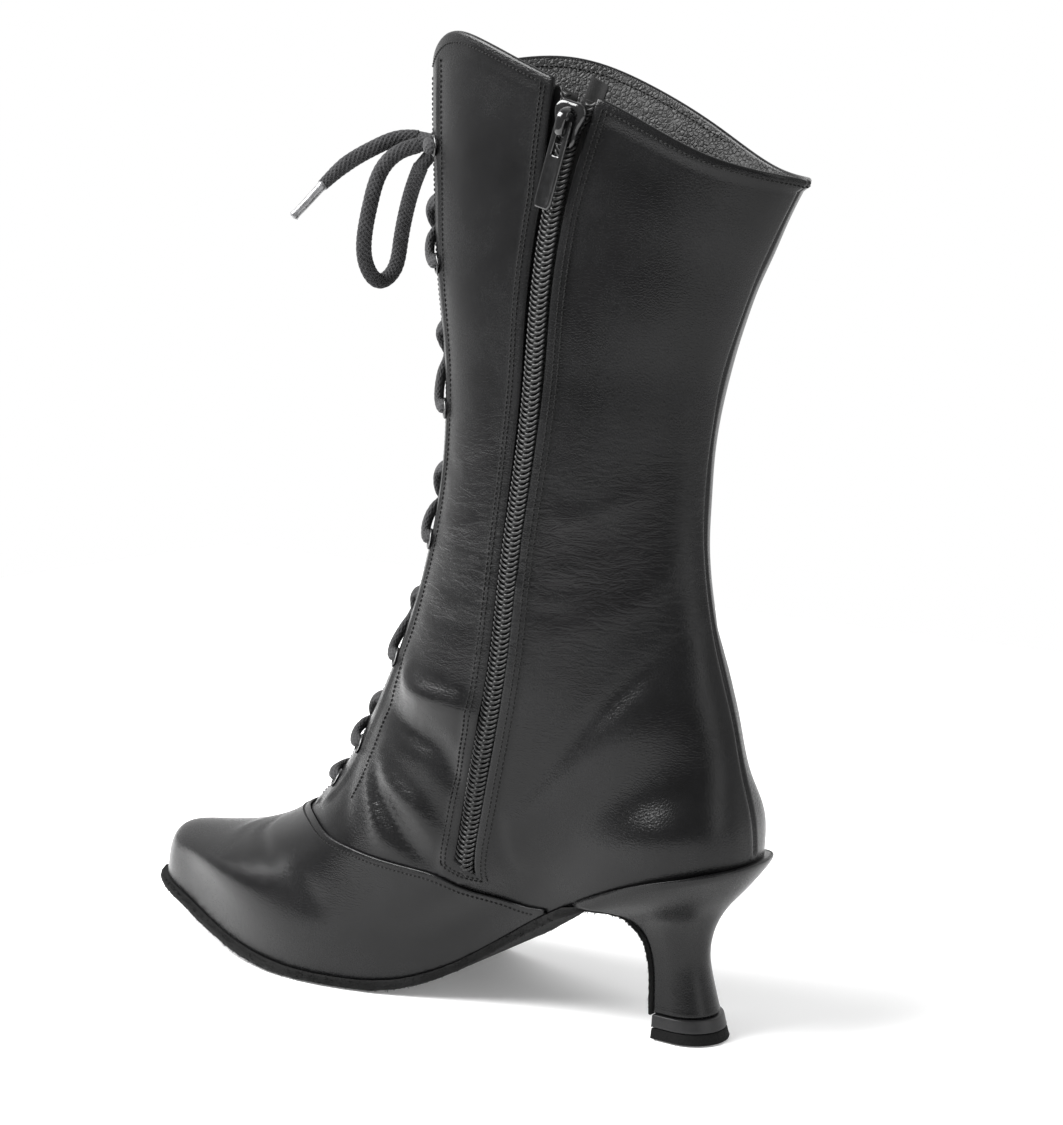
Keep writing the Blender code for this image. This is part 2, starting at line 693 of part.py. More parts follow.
# Bow on the outer side, lying along the shaft: turn, level, distance out.
FAR_LOOP = (
    (-0.13, 262, 10), (-0.2, 259, 8.5), (-0.3, 252, 7), (-0.36, 238, 6), (-0.38, 222, 5.5), (-0.35, 205, 5.5),
    (-0.29, 203, 6), (-0.25, 216, 7), (-0.2, 234, 8.5), (-0.16, 246, 10), (-0.13, 252, 11.5),
)
FAR_END = (
    (-0.1, 268, 10), (-0.18, 270, 9), (-0.3, 269, 8), (-0.42, 261, 7), (-0.5, 246, 6.5), (-0.54, 228, 6),
)
FAR_TIP = ((-0.5425, 226.8, 6), (-0.55, 220, 6), (-0.555, 214, 6))
TIP_RADIUS = 1.9


def facing_turn(level, side, inset):
    """Turn at a distance in from the facing edge, on the side +1 or -1."""
    return side * (throat_turn(level) + inset / turn_width(0.08, level))


def eyelet_inset(level):
    return float(np.interp(level, EYELET_LEVELS, EYELET_INSETS))


def build_eyelets(metal):
    angle = np.arange(EYELET_SIDES) * 2 * np.pi / EYELET_SIDES
    corners = [(EYELET_RADII[k], EYELET_HEIGHTS[n]) for k, n in ((0, 0), (1, 0), (1, 1), (0, 1))]
    for side, word in ((1, "inner"), (-1, "outer")):
        for number, level in enumerate(EYELET_LEVELS, 1):
            turn = facing_turn(level, side, eyelet_inset(level))
            near = 0.5
            place = skin_out(turn, level, 0)[0]
            out = skin_out(turn, level, 1)[0] - place
            up = skin_out(turn, level + near, 0)[0] - skin_out(turn, level - near, 0)[0]
            up -= out * (up @ out)
            up /= np.linalg.norm(up)
            across = np.cross(up, out)
            round_way = np.cos(angle)[:, None] * across + np.sin(angle)[:, None] * up
            points = [place + radius * round_way + out * height for radius, height in corners]
            faces = []
            for k in range(4):
                for j in range(EYELET_SIDES):
                    after = (j + 1) % EYELET_SIDES
                    low, high = k * EYELET_SIDES, (k + 1) % 4 * EYELET_SIDES
                    faces.append((low + j, low + after, high + after, high + j))
            make_object(f"eyelet_{word}_{number}", np.concatenate(points), faces, metal)


def lace_bar(level, above, side):
    """Path of one lace from its eyelet over the gap to the other facing, below the next eyelet."""
    arrive = level + (above - level) * DIVE_SHARE
    middle = (level + arrive) / 2
    marks = (
        (facing_turn(level, side, eyelet_inset(level) - 0.5), level + 0.8, LACE_OUT),
        (facing_turn(level, side, 0), level + (middle - level) * 0.45, LACE_OUT + 0.2),
        (0.0, middle, LACE_RISE),
        (facing_turn(arrive, -side, 0), arrive - (arrive - middle) * 0.4, LACE_OUT),
        (facing_turn(arrive, -side, 2.5), arrive, LACE_OUT - 0.6),
    )
    return smooth_path([skin_out(*mark)[0] for mark in marks], 9)


def straight_bar(level):
    """Path of the lowest lace, straight over the gap from eyelet to eyelet."""
    marks = []
    for side in (1, -1):
        marks.append((facing_turn(level, side, eyelet_inset(level) - 0.5), level + 0.8, LACE_OUT))
        marks.append((facing_turn(level, side, 0), level + 1.6, LACE_OUT + 0.2))
    marks = (marks[0], marks[1], (0.0, level + 2.2, LACE_RISE + 1), marks[3], marks[2])
    return smooth_path([skin_out(*mark)[0] for mark in marks], 11)


def build_crossings(cord):
    tube("lace_crossing_1", straight_bar(EYELET_LEVELS[0]), LACE_RADIUS, LACE_SIDES, cord)
    for number, (level, above) in enumerate(zip(EYELET_LEVELS[1:], EYELET_LEVELS[2:]), 2):
        one = tube(f"lace_crossing_{number}", lace_bar(level, above, 1), LACE_RADIUS, LACE_SIDES, cord)
        two = tube(f"lace_bar_{number}", lace_bar(level, above, -1), LACE_RADIUS, LACE_SIDES, cord)
        join_solids(one, two)


def knot_centre():
    return skin_out(0.0, KNOT_LEVEL, KNOT_OUT)[0] + (KNOT_SIDE, 0, 0)


def build_knot(cord):
    level = EYELET_LEVELS[-1]
    marks = (
        (facing_turn(level, 1, eyelet_inset(level) - 0.5), level, LACE_OUT),
        (facing_turn(level, 1, 0), level + 1, LACE_OUT + 0.6),
        (0.0, KNOT_LEVEL, KNOT_OUT - 0.6),
        (facing_turn(level, -1, 0), level + 1, LACE_OUT + 0.6),
        (facing_turn(level, -1, eyelet_inset(level) - 0.5), level, LACE_OUT),
    )
    arms = smooth_path([skin_out(*mark)[0] for mark in marks], 11)
    bar = tube("lace_arms", arms, LACE_RADIUS, LACE_SIDES, cord)
    centre = knot_centre()
    slices = np.linspace(-0.98, 0.98, 7)
    angle = np.arange(10) * 2 * np.pi / 10
    width, depth, height = KNOT_SIZE
    rings = []
    for slice_at in slices:
        reach = math.sqrt(1 - slice_at**2)
        rings.append(centre + np.stack([
            np.full(10, width * slice_at), depth * reach * np.cos(angle), height * reach * np.sin(angle),
        ], -1))
    knot = loft("lace_knot", rings, cord)
    join_solids(knot, bar)


def bow_points(route):
    """World points of a bow route given as reach, drop and depth from the knot."""
    route = np.asarray(route, float)
    centre = knot_centre()
    sine, cosine = math.sin(BOW_DIRECTION), math.cos(BOW_DIRECTION)
    reach, drop, depth = route.T
    return centre + np.stack([reach * sine - depth * cosine, -reach * cosine - depth * sine, -drop], -1)


def skin_points(route):
    return np.array([skin_out(*mark)[0] for mark in route])


def cord_object(name, route, count, radius, material):
    """A round cord as a bevelled curve through points of a smooth curve."""
    points = smooth_path(route, count) * MM
    curve = bpy.data.curves.new(name, "CURVE")
    curve.dimensions = "3D"
    curve.bevel_depth = radius * MM
    curve.bevel_resolution = 2
    curve.use_fill_caps = True
    line = curve.splines.new("POLY")
    line.points.add(count - 1)
    for spot, point in zip(line.points, points):
        spot.co = (*point, 1)
    curve.materials.append(material)
    made = bpy.data.objects.new(name, curve)
    bpy.context.collection.objects.link(made)


def build_bow(cord, clear):
    cord_object("lace_loop_inner", bow_points(BOW_LOOP), 20, BOW_RADIUS, cord)
    cord_object("lace_end_inner", bow_points(BOW_END), 10, BOW_RADIUS, cord)
    cord_object("lace_tip_inner", bow_points(BOW_TIP), 4, TIP_RADIUS, clear)
    cord_object("lace_loop_outer", skin_points(FAR_LOOP), 20, BOW_RADIUS, cord)
    cord_object("lace_end_outer", skin_points(FAR_END), 12, BOW_RADIUS, cord)
    cord_object("lace_tip_outer", skin_points(FAR_TIP), 4, TIP_RADIUS, clear)


def main():
    clear_scene()
    leather = make_material("black_leather", (0.018, 0.018, 0.02), 0.42)
    vamp_leather = make_material("vamp_leather", (0.02, 0.02, 0.022), 0.4)
    lining = make_material("tongue_leather", (0.02, 0.02, 0.02), 0.55)
    suede = make_material("sole_suede", (0.03, 0.029, 0.028), 0.95)
    board = make_material("insole_leather", (0.03, 0.028, 0.026), 0.7)
    cover = make_material("heel_leather", (0.022, 0.022, 0.024), 0.38)
    stack = make_material("heel_stack", (0.025, 0.025, 0.026), 0.5)
    rubber = make_material("heel_rubber", (0.012, 0.012, 0.012), 0.8)
    cloth = make_material("zip_cloth", (0.015, 0.015, 0.016), 0.9)
    coil = make_material("zip_coil", (0.02, 0.02, 0.021), 0.35)
    metal = make_material("black_metal", (0.02, 0.02, 0.022), 0.25, 0.9)
    cord = make_material("lace_cord", (0.03, 0.03, 0.033), 0.85)
    clear = make_material("lace_tip_plastic", (0.35, 0.35, 0.36), 0.2)
    build_upper(leather)
    build_vamp(vamp_leather)
    build_tongue(lining)
    build_outsole(suede)
    build_insole(board)
    build_heel(cover, stack, rubber)
    build_zip(cloth, coil)
    build_slider(metal)
    build_pull(metal)
    build_eyelets(metal)
    build_crossings(cord)
    build_knot(cord)
    build_bow(cord, clear)


main()
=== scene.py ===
"""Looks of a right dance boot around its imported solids: leather, stitches, zip, laces, sole and heel."""
import math

import bmesh
import bpy
import numpy as np
from mathutils import Matrix, Vector

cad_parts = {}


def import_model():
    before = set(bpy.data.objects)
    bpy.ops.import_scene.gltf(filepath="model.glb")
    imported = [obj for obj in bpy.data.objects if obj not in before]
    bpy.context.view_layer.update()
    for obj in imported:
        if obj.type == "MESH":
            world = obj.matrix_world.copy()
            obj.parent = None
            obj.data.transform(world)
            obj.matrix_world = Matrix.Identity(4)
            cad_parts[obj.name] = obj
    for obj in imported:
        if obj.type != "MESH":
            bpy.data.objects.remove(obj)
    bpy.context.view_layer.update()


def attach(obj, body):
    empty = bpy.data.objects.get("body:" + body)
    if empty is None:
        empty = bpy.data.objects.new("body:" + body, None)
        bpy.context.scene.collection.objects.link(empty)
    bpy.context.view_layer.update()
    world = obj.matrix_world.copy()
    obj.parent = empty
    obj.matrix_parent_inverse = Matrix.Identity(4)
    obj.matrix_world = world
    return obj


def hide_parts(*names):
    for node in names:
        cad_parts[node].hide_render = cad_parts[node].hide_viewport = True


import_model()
MM = 0.001

# Driving sizes of the last, in millimetres. "along" runs forward from the back of the heel seat.
LENGTH = 250.6
BACK_Y = 125.0
CENTRE_X = 1.64
# Feather line seen from above: inner side positive, from the heel's back round by the inner side.
OUTLINE = (
    (0, 4), (15, 8.5), (24, 23), (23.5, 49.5), (18.5, 79), (21.5, 106.5), (31, 136), (35.5, 164), (29, 197),
    (16.5, 228.5), (9, 244.6), (-2, LENGTH), (-13, 244.6), (-27, 226.5), (-37.5, 194), (-40.5, 164),
    (-37, 133), (-30, 100.5), (-25.5, 66), (-24.5, 25), (-15, 8.5),
)
HEEL_BACK = OUTLINE[0][1]
# Feather line seen from the side: along, height.
BOTTOM = (
    (2, 62.4), (27, 56.6), (51.5, 46.8), (76, 33), (98.5, 17.7), (116.5, 8.1), (132, 4.2), (148, 3.5),
    (164, 3.6), (192, 5.8), (221.5, 10.7), (LENGTH, 17.2),
)
# Girth rings above the feather wall: level, back along, back height, front along, front height, share of the
# arch, then half widths at the back, the two thirds and the front for the inner and the outer side.
RINGS = (
    (28, 8.9, 88.2, 238.4, 40.2, 1.0, (50, 29, 38, 30), (50, 33, 41.5, 30)),
    (50, 14.0, 108.1, 213.9, 52.3, 0.9, (43, 31, 35, 30), (43, 33, 37, 30)),
    (75, 21.3, 131.8, 180.4, 71.7, 0.7, (34, 32, 34, 27), (34, 33, 34, 27)),
    (105, 26.2, 159.7, 151.5, 106.5, 0.4, (29, 31, 33, 27), (29, 31, 33, 27)),
    (140, 26.2, 187.7, 132.0, 150.2, 0.15, (27, 30, 31, 27), (27, 30, 31, 27)),
    (180, 22.1, 215.9, 124.5, 196.5, 0.0, (29, 30, 31, 28), (29, 30, 31, 28)),
    (220, 13.5, 242.2, 129.1, 243.3, 0.0, (31, 31, 31, 29), (31, 31, 31, 29)),
    (285, -2.9, 275.7, 133.5, 316.2, 0.0, (33, 32, 32, 30), (33, 32, 32, 30)),
)
WALL_RISE = 12.0
WALL_GROWTH = 1.6
WALL_BACK = 1.0
WALL_FRONT = -3.0
# Rise of the collar above a straight line from back to front: part of the way, inner side, outer side.
COLLAR_WAVE = (
    (0, 1.2, 1.2), (0.15, 1.0, -1.5), (0.35, 6.5, 3.8), (0.55, 9.5, 9.3), (0.75, 12.3, 10.1),
    (0.9, 8.0, 3.0), (1, -5, -5),
)
LEVELS = (0.0, WALL_RISE) + tuple(row[0] for row in RINGS)
COLLAR = LEVELS[-1]
# Where a ring's half width is below this, near its ends, it grows by less in proportion.
LEAST_HALF = 14.0
# Corners of the feather line that its closed curve runs over twice, and points on that curve.
LAP_CORNERS = 4
EDGE_MARKS = 4000


def bends(knots, values):
    """Second derivatives of the natural cubic spline through values at knots."""
    knots = np.asarray(knots, float)
    count = len(knots)
    step = np.diff(knots)
    system = np.eye(count)
    right = np.zeros_like(values)
    for i in range(1, count - 1):
        system[i, i - 1:i + 2] = step[i - 1], 2 * (step[i - 1] + step[i]), step[i]
        right[i] = 6 * ((values[i + 1] - values[i]) / step[i] - (values[i] - values[i - 1]) / step[i - 1])
    return np.linalg.solve(system, right.reshape(count, -1)).reshape(values.shape)


def spline(knots, values, at):
    """Natural cubic spline; an entry of at reads its own column where values holds one for each entry."""
    knots = np.asarray(knots, float)
    values = np.asarray(values, float)
    at = np.asarray(at, float)
    curve = bends(knots, values)
    i = np.clip(np.searchsorted(knots, at, side="right") - 1, 0, len(knots) - 2)
    step = knots[i + 1] - knots[i]
    low = (knots[i + 1] - at) / step
    high = (at - knots[i]) / step
    own = (np.arange(len(at)),) if values.ndim > 2 else ()
    if values.ndim > 1:
        low, high, step = low[:, None], high[:, None], step[:, None]
    first, second = values[(i, *own)], values[(i + 1, *own)]
    bend_1, bend_2 = curve[(i, *own)], curve[(i + 1, *own)]
    return low * first + high * second + ((low**3 - low) * bend_1 + (high**3 - high) * bend_2) * step**2 / 6


def run_along(points):
    """Distance along a line of points, from the first one to each of them."""
    return np.concatenate([[0], np.cumsum(np.linalg.norm(np.diff(points, axis=0), axis=1))])


def read_columns(at, knots, values):
    """Each column of values, read between the knots."""
    return np.stack([np.interp(at, knots, column) for column in values.T], -1)


def read_table(at, table):
    """Value at a place, from a table with rows of place and value."""
    return np.interp(at, *np.array(table).T)


def outline_halves():
    """The inner and the outer half of the feather line, each from heel to toe, as (along, x) tables."""
    corner = np.array(OUTLINE, float)
    lap = np.concatenate([corner[-LAP_CORNERS:], corner, corner[:LAP_CORNERS + 1]])
    run = np.concatenate([[0], np.cumsum(np.linalg.norm(np.diff(lap, axis=0), axis=1) ** 0.5)])
    ends = run[LAP_CORNERS], run[LAP_CORNERS + len(corner)]
    line = spline(run, lap, np.linspace(*ends, EDGE_MARKS))
    tip = np.argmax(line[:, 1])
    return line[:tip + 1, ::-1], line[tip:, ::-1][::-1]


INNER_EDGE, OUTER_EDGE = outline_halves()


def edge_x(along, inner):
    table = INNER_EDGE if inner else OUTER_EDGE
    return np.interp(along, np.maximum.accumulate(table[:, 0]), table[:, 1])


def bottom(along):
    return spline(*np.array(BOTTOM, float).T, np.asarray(along, float))


def arch(along):
    """How far the feather line hangs below the straight line from heel to toe."""
    ends = np.array((BOTTOM[0], BOTTOM[-1]), float)
    along = np.clip(along, *ends[:, 0])
    return bottom(along) - np.interp(along, *ends.T)


def feather_ring(part, inner, rise, growth, back, front):
    along = HEEL_BACK + part * (LENGTH - HEEL_BACK)
    edges = edge_x(along, True), edge_x(along, False)
    middle = (edges[0] + edges[1]) / 2
    half = (edges[0] - edges[1]) / 2
    x = middle + np.where(inner, 1, -1) * half * (1 + growth / np.maximum(half, LEAST_HALF))
    return x, along + back * (1 - part) + front * part, bottom(along) + rise


def girth_ring(part, inner, row):
    level, back, back_height, front, front_height, share, inner_widths, outer_widths = row
    thirds = np.stack([
        (1 - part) * (2 / 3 - part) * (1 / 3 - part) * 4.5,
        part * (1 - part) * (2 / 3 - part) * 13.5,
        part * (1 - part) * (part - 1 / 3) * 13.5,
        part * (part - 1 / 3) * (part - 2 / 3) * 4.5,
    ])
    half = np.where(inner, np.array(inner_widths) @ thirds, -(np.array(outer_widths) @ thirds))
    along = back + (front - back) * part
    height = back_height + (front_height - back_height) * part + share * arch(along)
    if level == COLLAR:
        knots, inner_wave, outer_wave = np.array(COLLAR_WAVE, float).T
        height = height + np.where(inner, spline(knots, inner_wave, part), spline(knots, outer_wave, part))
    return half * np.sqrt(np.maximum(4 * part * (1 - part), 0)), along, height


def skin(turn, level):
    """Points of the upper's outer skin. turn: 0 front, +1 and -1 back, positive on the inner side."""
    turn = np.mod(np.asarray(turn, float) + 1, 2) - 1
    part = (1 + np.cos(np.pi * turn)) / 2
    inner = turn >= 0
    rings = [
        feather_ring(part, inner, 0, 0, 0, 0),
        feather_ring(part, inner, WALL_RISE, WALL_GROWTH, WALL_BACK, WALL_FRONT),
    ]
    rings += [girth_ring(part, inner, row) for row in RINGS]
    table = np.stack([np.stack(ring, -1) for ring in rings])
    x, along, height = np.moveaxis(spline(LEVELS, table, level), -1, 0)
    return np.stack([x + CENTRE_X, BACK_Y - along, height], -1)


def flat_arrays(*values):
    return [np.ravel(v).astype(float) for v in np.broadcast_arrays(*values)]


def skin_normal(turn, level):
    """Outward direction of the skin and the millimetres on it for one unit of turn."""
    near = 0.004
    rise = 0.4
    across = skin(turn + near, level) - skin(turn - near, level)
    upward = skin(turn, np.minimum(level + rise, COLLAR)) - skin(turn, np.maximum(level - rise, 0))
    normal = np.cross(across, upward)
    normal /= np.linalg.norm(normal, axis=1, keepdims=True)
    return normal, np.linalg.norm(across, axis=1) / (2 * near)


def skin_out(turn, level, out):
    """Points at the distance out from the plain skin along its normal."""
    turn, level, out = flat_arrays(turn, level, out)
    return skin(turn, level) + skin_normal(turn, level)[0] * out[:, None]


def skin_grid(turns, levels, out):
    """A grid of points at the distance out from the plain skin."""
    return skin_out(turns, levels, out).reshape(*turns.shape, 3)


# Seams of the upper, as turn from the front and level, or level and turn.
WALL = 2.0
GAP = 0.3
VAMP_THICKNESS = 1.0
VAMP_EDGE = (
    (0, 74), (0.12, 73), (0.25, 68.5), (0.337, 62), (0.447, 53), (0.513, 44), (0.565, 30.5), (0.6, 15.5),
    (0.63, 5.5), (0.655, 0.8),
)
VAMP_END_TURN = 0.653
LEAST_EDGE = 5.0
ZIP_LINE = (
    (0, 0.585), (35, 0.573), (68, 0.553), (99, 0.537), (129, 0.507), (180, 0.493), (235, 0.503),
    (285, 0.532),
)
# Half width of the slot for the zip, which opens above the slider: level, half width.
ZIP_SLOT_HALF = ((0, 4.2), (125, 4.2), (205, 5.4), (248, 5.6), (285, 9.0))
# Foot of the slot: turn in its middle, level there, levels lost for one unit of turn.
ZIP_FOOT = (0.572, 34.5, 230.0)
# Shift of the slot towards the front near the collar: level, distance.
SLOT_SHIFT = ((250, 0.0), (285, 1.7))
THROAT_HALF = (5.0, 8.5)
THROAT_LEVEL = 70.0
TOE_TURN = 0.05
TONGUE_GAP = 1.7
TONGUE_THICKNESS = 1.8
TONGUE_HALF = 22.0
TONGUE_LEVELS = (66.0, 279.0)


def vamp_level(turn):
    knots = np.array(VAMP_EDGE, float)
    smooth = spline(knots[:, 0], knots[:, 1], np.minimum(np.abs(turn), knots[-1, 0]).ravel())
    return np.maximum(smooth, knots[-1, 1]).reshape(np.shape(turn))


def zip_turn(level):
    level = np.asarray(level, float)
    return spline(*np.array(ZIP_LINE, float).T, level.ravel()).reshape(level.shape)


def slot_half(level):
    return read_table(level, ZIP_SLOT_HALF)


def foot_level(turn):
    """Level of the zip slot's foot, which loses levels towards the back."""
    middle, level, slope = ZIP_FOOT
    return level - slope * (turn - middle)


def zip_width(level, slope=0.0):
    """Distance across the zip for one unit of turn, along a line that loses slope levels over that unit."""
    level = np.minimum(np.ravel(level).astype(float), COLLAR - 1)
    near = 0.01
    rise = 0.5
    turn = zip_turn(level)
    way = (skin(turn + near, level - slope * near) - skin(turn - near, level + slope * near)) / (2 * near)
    up = unit(skin(zip_turn(level + rise), level + rise) - skin(zip_turn(level - rise), level - rise))
    return np.linalg.norm(way - up * (way * up).sum(1, keepdims=True), axis=1)


def slot_turn(level):
    """Turn of the middle of the zip slot."""
    return zip_turn(level) - read_table(level, SLOT_SHIFT) / zip_level_width(level)


def turn_width(turn, level):
    turn, level = flat_arrays(turn, level)
    return skin_normal(turn, level)[1]


def throat_turn(level):
    """Turn of the facing edge at this level."""
    level = np.ravel(level).astype(float)
    half = np.interp(level, (THROAT_LEVEL, COLLAR), THROAT_HALF)
    return half / turn_width(0.0, level)


def facing_turn(level, side, inset):
    """Turn at a distance in from the facing edge, on the side +1 or -1."""
    return side * (throat_turn(level) + inset / turn_width(0.08, level))


def unit(vectors):
    return vectors / np.linalg.norm(vectors, axis=-1, keepdims=True)


WIDTH_LEVELS = np.linspace(0, COLLAR, 58)
ZIP_WIDTHS = zip_width(WIDTH_LEVELS)


def zip_level_width(level):
    """Distance across the zip for one unit of turn at a constant level."""
    return np.interp(level, WIDTH_LEVELS, ZIP_WIDTHS)


# Folds of the worn leather: marks of turn and level, half width, height (troughs negative).
FOLDS = (
    (((0.25, 115), (0.32, 107), (0.44, 97), (0.52, 87)), 4.4, 2.3),
    (((0.24, 104), (0.34, 97), (0.42, 90), (0.49, 78), (0.53, 67)), 5.0, -2.6),
    (((0.31, 90), (0.38, 81), (0.45, 71), (0.50, 60), (0.54, 48)), 4.0, 2.3),
    (((0.33, 83), (0.39, 74), (0.44, 65), (0.49, 54), (0.52, 47)), 2.8, -2.1),
    (((0.28, 89), (0.32, 82), (0.37, 74), (0.42, 63), (0.47, 54)), 2.0, 1.5),
    (((0.20, 90), (0.26, 80), (0.32, 70), (0.36, 64)), 4.0, -0.7),
    (((0.17, 82), (0.20, 77), (0.27, 72)), 3.0, 0.4),
    (((0.26, 128), (0.36, 121), (0.48, 113)), 2.2, -0.45),
    (((0.28, 134), (0.38, 128), (0.47, 121)), 2.0, -0.35),
    (((0.34, 142), (0.42, 136), (0.46, 131)), 1.8, -0.3),
    (((0.24, 152), (0.34, 146), (0.43, 144)), 2.6, 0.4),
    (((0.22, 168), (0.32, 163), (0.42, 165)), 3.0, -0.4),
    (((0.56, 112), (0.62, 105), (0.68, 99)), 1.8, -0.35),
    (((0.56, 120), (0.63, 112), (0.70, 107)), 2.0, -0.4),
    (((0.57, 129), (0.66, 122), (0.76, 121)), 2.6, -0.45),
    (((0.58, 138), (0.68, 133), (0.80, 136)), 3.5, 0.5),
    (((0.62, 98), (0.72, 96), (0.84, 104)), 5.0, 0.7),
    (((0.93, 79), (0.84, 75), (0.757, 69), (0.672, 56), (0.621, 48)), 3.6, -1.0),
    (((0.92, 66), (0.82, 60), (0.74, 52), (0.67, 41)), 9.0, 0.8),
    (((0.606, 46), (0.613, 35), (0.622, 22)), 2.6, -1.0),
    (((-0.22, 108), (-0.34, 100), (-0.46, 92)), 5.5, 1.6),
    (((-0.20, 96), (-0.32, 88), (-0.44, 78)), 5.0, -1.6),
    (((-0.26, 86), (-0.34, 76), (-0.42, 64)), 4.0, 1.2),
    (((-0.30, 122), (-0.45, 116), (-0.62, 120)), 3.0, -0.6),
    (((-0.30, 134), (-0.48, 129), (-0.66, 134)), 3.0, 0.5),
    (((-0.93, 79), (-0.84, 75), (-0.757, 69), (-0.672, 56), (-0.621, 48)), 3.2, -0.9),
    (((-0.92, 66), (-0.82, 60), (-0.74, 52), (-0.67, 41)), 7.0, 0.7),
    (((0.08, 62), (0.14, 57), (0.22, 52), (0.29, 45)), 2.4, -0.9),
    (((0.02, 60), (0.08, 53), (0.16, 46)), 3.0, 0.4),
    (((0.33, 46), (0.39, 36), (0.43, 24)), 5.0, -0.5),
    (((-0.08, 60), (-0.18, 54), (-0.28, 45)), 2.6, -0.5),
)
FOLD_MARKS = 24
# A fold fades towards its ends by this power, and not quite to nothing.
FOLD_FADE = 0.6
FOLD_ENDS = (0.04, 0.96)
# Broad softness of the leather: waves round the shaft, waves along it, phase, height.
WAVES = ((5, 0.055, 0.4, 0.25), (9, 0.08, 1.9, 0.10), (14, 0.11, 3.1, 0.04))
# The waves begin at this level and reach their full height over this many levels.
WAVE_START = 20.0
WAVE_RUN = 40.0
# Lift of the leather where it lies double along the zip, facing and collar, and the width of its step.
EDGE_LIFT = 0.7
LAP_STEP = 1.2
COLLAR_STEP = 1.0
ZIP_LAP = 3.4
# Levels by which the lap runs on below the slot's foot.
ZIP_LAP_FOOT = 5.0
FACING_LAP = 0.8
FACING_LAP_FOOT = 76.0
# Outer stitch row of the facing: level, distance in from the facing edge.
FACING_ROW = ((78, 24), (94, 20.5), (115, 15.5), (135, 12.5), (173, 10.8), (285, 10.8))
COLLAR_LAP = 4.0
NUB_HEIGHT = 1.4
NUB_REACH = 3.0
SEAM_GROOVE = 0.55
SEAM_HALF = 0.8
SEAM_PUFF = 0.4
PUFF_HALF = 3.2
FINE_MARKS = 600


def smooth_path(route, count):
    """Points evenly along a smooth curve through the route points."""
    route = np.asarray(route, float)
    run = run_along(route)
    fine = spline(run, route, np.linspace(0, run[-1], FINE_MARKS))
    length = run_along(fine)
    return read_columns(np.linspace(0, length[-1], count), length, fine)


def fold_lines():
    lines = []
    for marks, half, height in FOLDS:
        path = smooth_path(marks, FOLD_MARKS)
        lines.append((skin(path[:, 0], path[:, 1]), half, height))
    return lines


FOLD_LINES = fold_lines()


def step_down(distance, edge, soft):
    """One before the edge, nought after it, with a soft step."""
    part = np.clip((edge + soft - distance) / soft, 0, 1)
    return part * part * (3 - 2 * part)


def relief(points, turn, level, width):
    """Millimetres by which folds, laps, seams and softness lift the leather above the plain skin."""
    total = np.zeros(len(points))
    for line, half, height in FOLD_LINES:
        apart = np.linalg.norm(points[:, None, :] - line[None], axis=2)
        nearest = apart.argmin(1)
        fade = np.sin(np.pi * np.clip(nearest / (len(line) - 1), *FOLD_ENDS)) ** FOLD_FADE
        total += height * fade * np.exp(-(apart.min(1) / half) ** 2)
    shaft = np.clip((level - WAVE_START) / WAVE_RUN, 0, 1)
    for around, up, phase, height in WAVES:
        wave = np.sin(around * turn + up * level + phase) * np.sin(0.6 * around * turn - up * level)
        total += shaft * height * wave
    above_vamp = np.clip((level - vamp_level(turn)) / 2, 0, 1)
    from_zip = np.abs(turn - slot_turn(level)) * zip_level_width(level)
    above_foot = level > foot_level(turn) - ZIP_LAP_FOOT
    lap = step_down(from_zip, slot_half(level) + ZIP_LAP, LAP_STEP) * above_foot
    from_facing = (np.abs(turn) - throat_turn(level)) * width
    facing_lap = read_table(level, FACING_ROW) + FACING_LAP
    lap = np.maximum(lap, step_down(from_facing, facing_lap, LAP_STEP) * (level > FACING_LAP_FOOT))
    lap = np.maximum(lap, step_down(COLLAR - level, COLLAR_LAP, COLLAR_STEP))
    total += EDGE_LIFT * lap * above_vamp
    from_seam = (1 - np.abs(turn)) * width
    total += above_vamp * SEAM_PUFF * np.exp(-(from_seam / PUFF_HALF) ** 2)
    total -= above_vamp * (SEAM_GROOVE + SEAM_PUFF) * np.exp(-(from_seam / SEAM_HALF) ** 2)
    total += NUB_HEIGHT * np.exp(-(from_seam / NUB_REACH) ** 2 - ((COLLAR - level) / NUB_REACH) ** 2)
    return total


def dress(turn, level, out):
    """Points at the distance out from the folded leather, and the outward directions there."""
    turn, level, out = flat_arrays(turn, level, out)
    turn = np.mod(turn + 1, 2) - 1
    points = skin(turn, level)
    normal, width = skin_normal(turn, level)
    return points + normal * (relief(points, turn, level, width) + out)[:, None], normal


def dress_grid(turns, levels, out):
    """A grid of points at the distance out from the folded leather."""
    return dress(turns, levels, out)[0].reshape(*turns.shape, 3)


# Making meshes.


def new_object(name, points, faces, materials, slots=None):
    """A smooth-shaded mesh object from points in millimetres, with its faces turned outwards."""
    mesh = bpy.data.meshes.new(name)
    mesh.from_pydata((np.asarray(points) * MM).tolist(), [], [list(map(int, f)) for f in faces])
    for material in materials:
        mesh.materials.append(material)
    if slots is not None:
        mesh.polygons.foreach_set("material_index", np.asarray(slots, np.int32))
    shape = bmesh.new()
    shape.from_mesh(mesh)
    loose = [v for v in shape.verts if not v.link_faces]
    bmesh.ops.delete(shape, geom=loose, context="VERTS")
    bmesh.ops.recalc_face_normals(shape, faces=shape.faces)
    shape.to_mesh(mesh)
    shape.free()
    mesh.shade_smooth()
    made = bpy.data.objects.new(name, mesh)
    bpy.context.scene.collection.objects.link(made)
    return made


def dressed(piece, slot, *nodes, body="boot"):
    """Sets what a finished piece rides on and hides the solids that it stands for; its slot argument is not
    used.
    """
    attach(piece, body)
    if nodes:
        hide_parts(*nodes)
    return piece


RIM_STEPS = 5


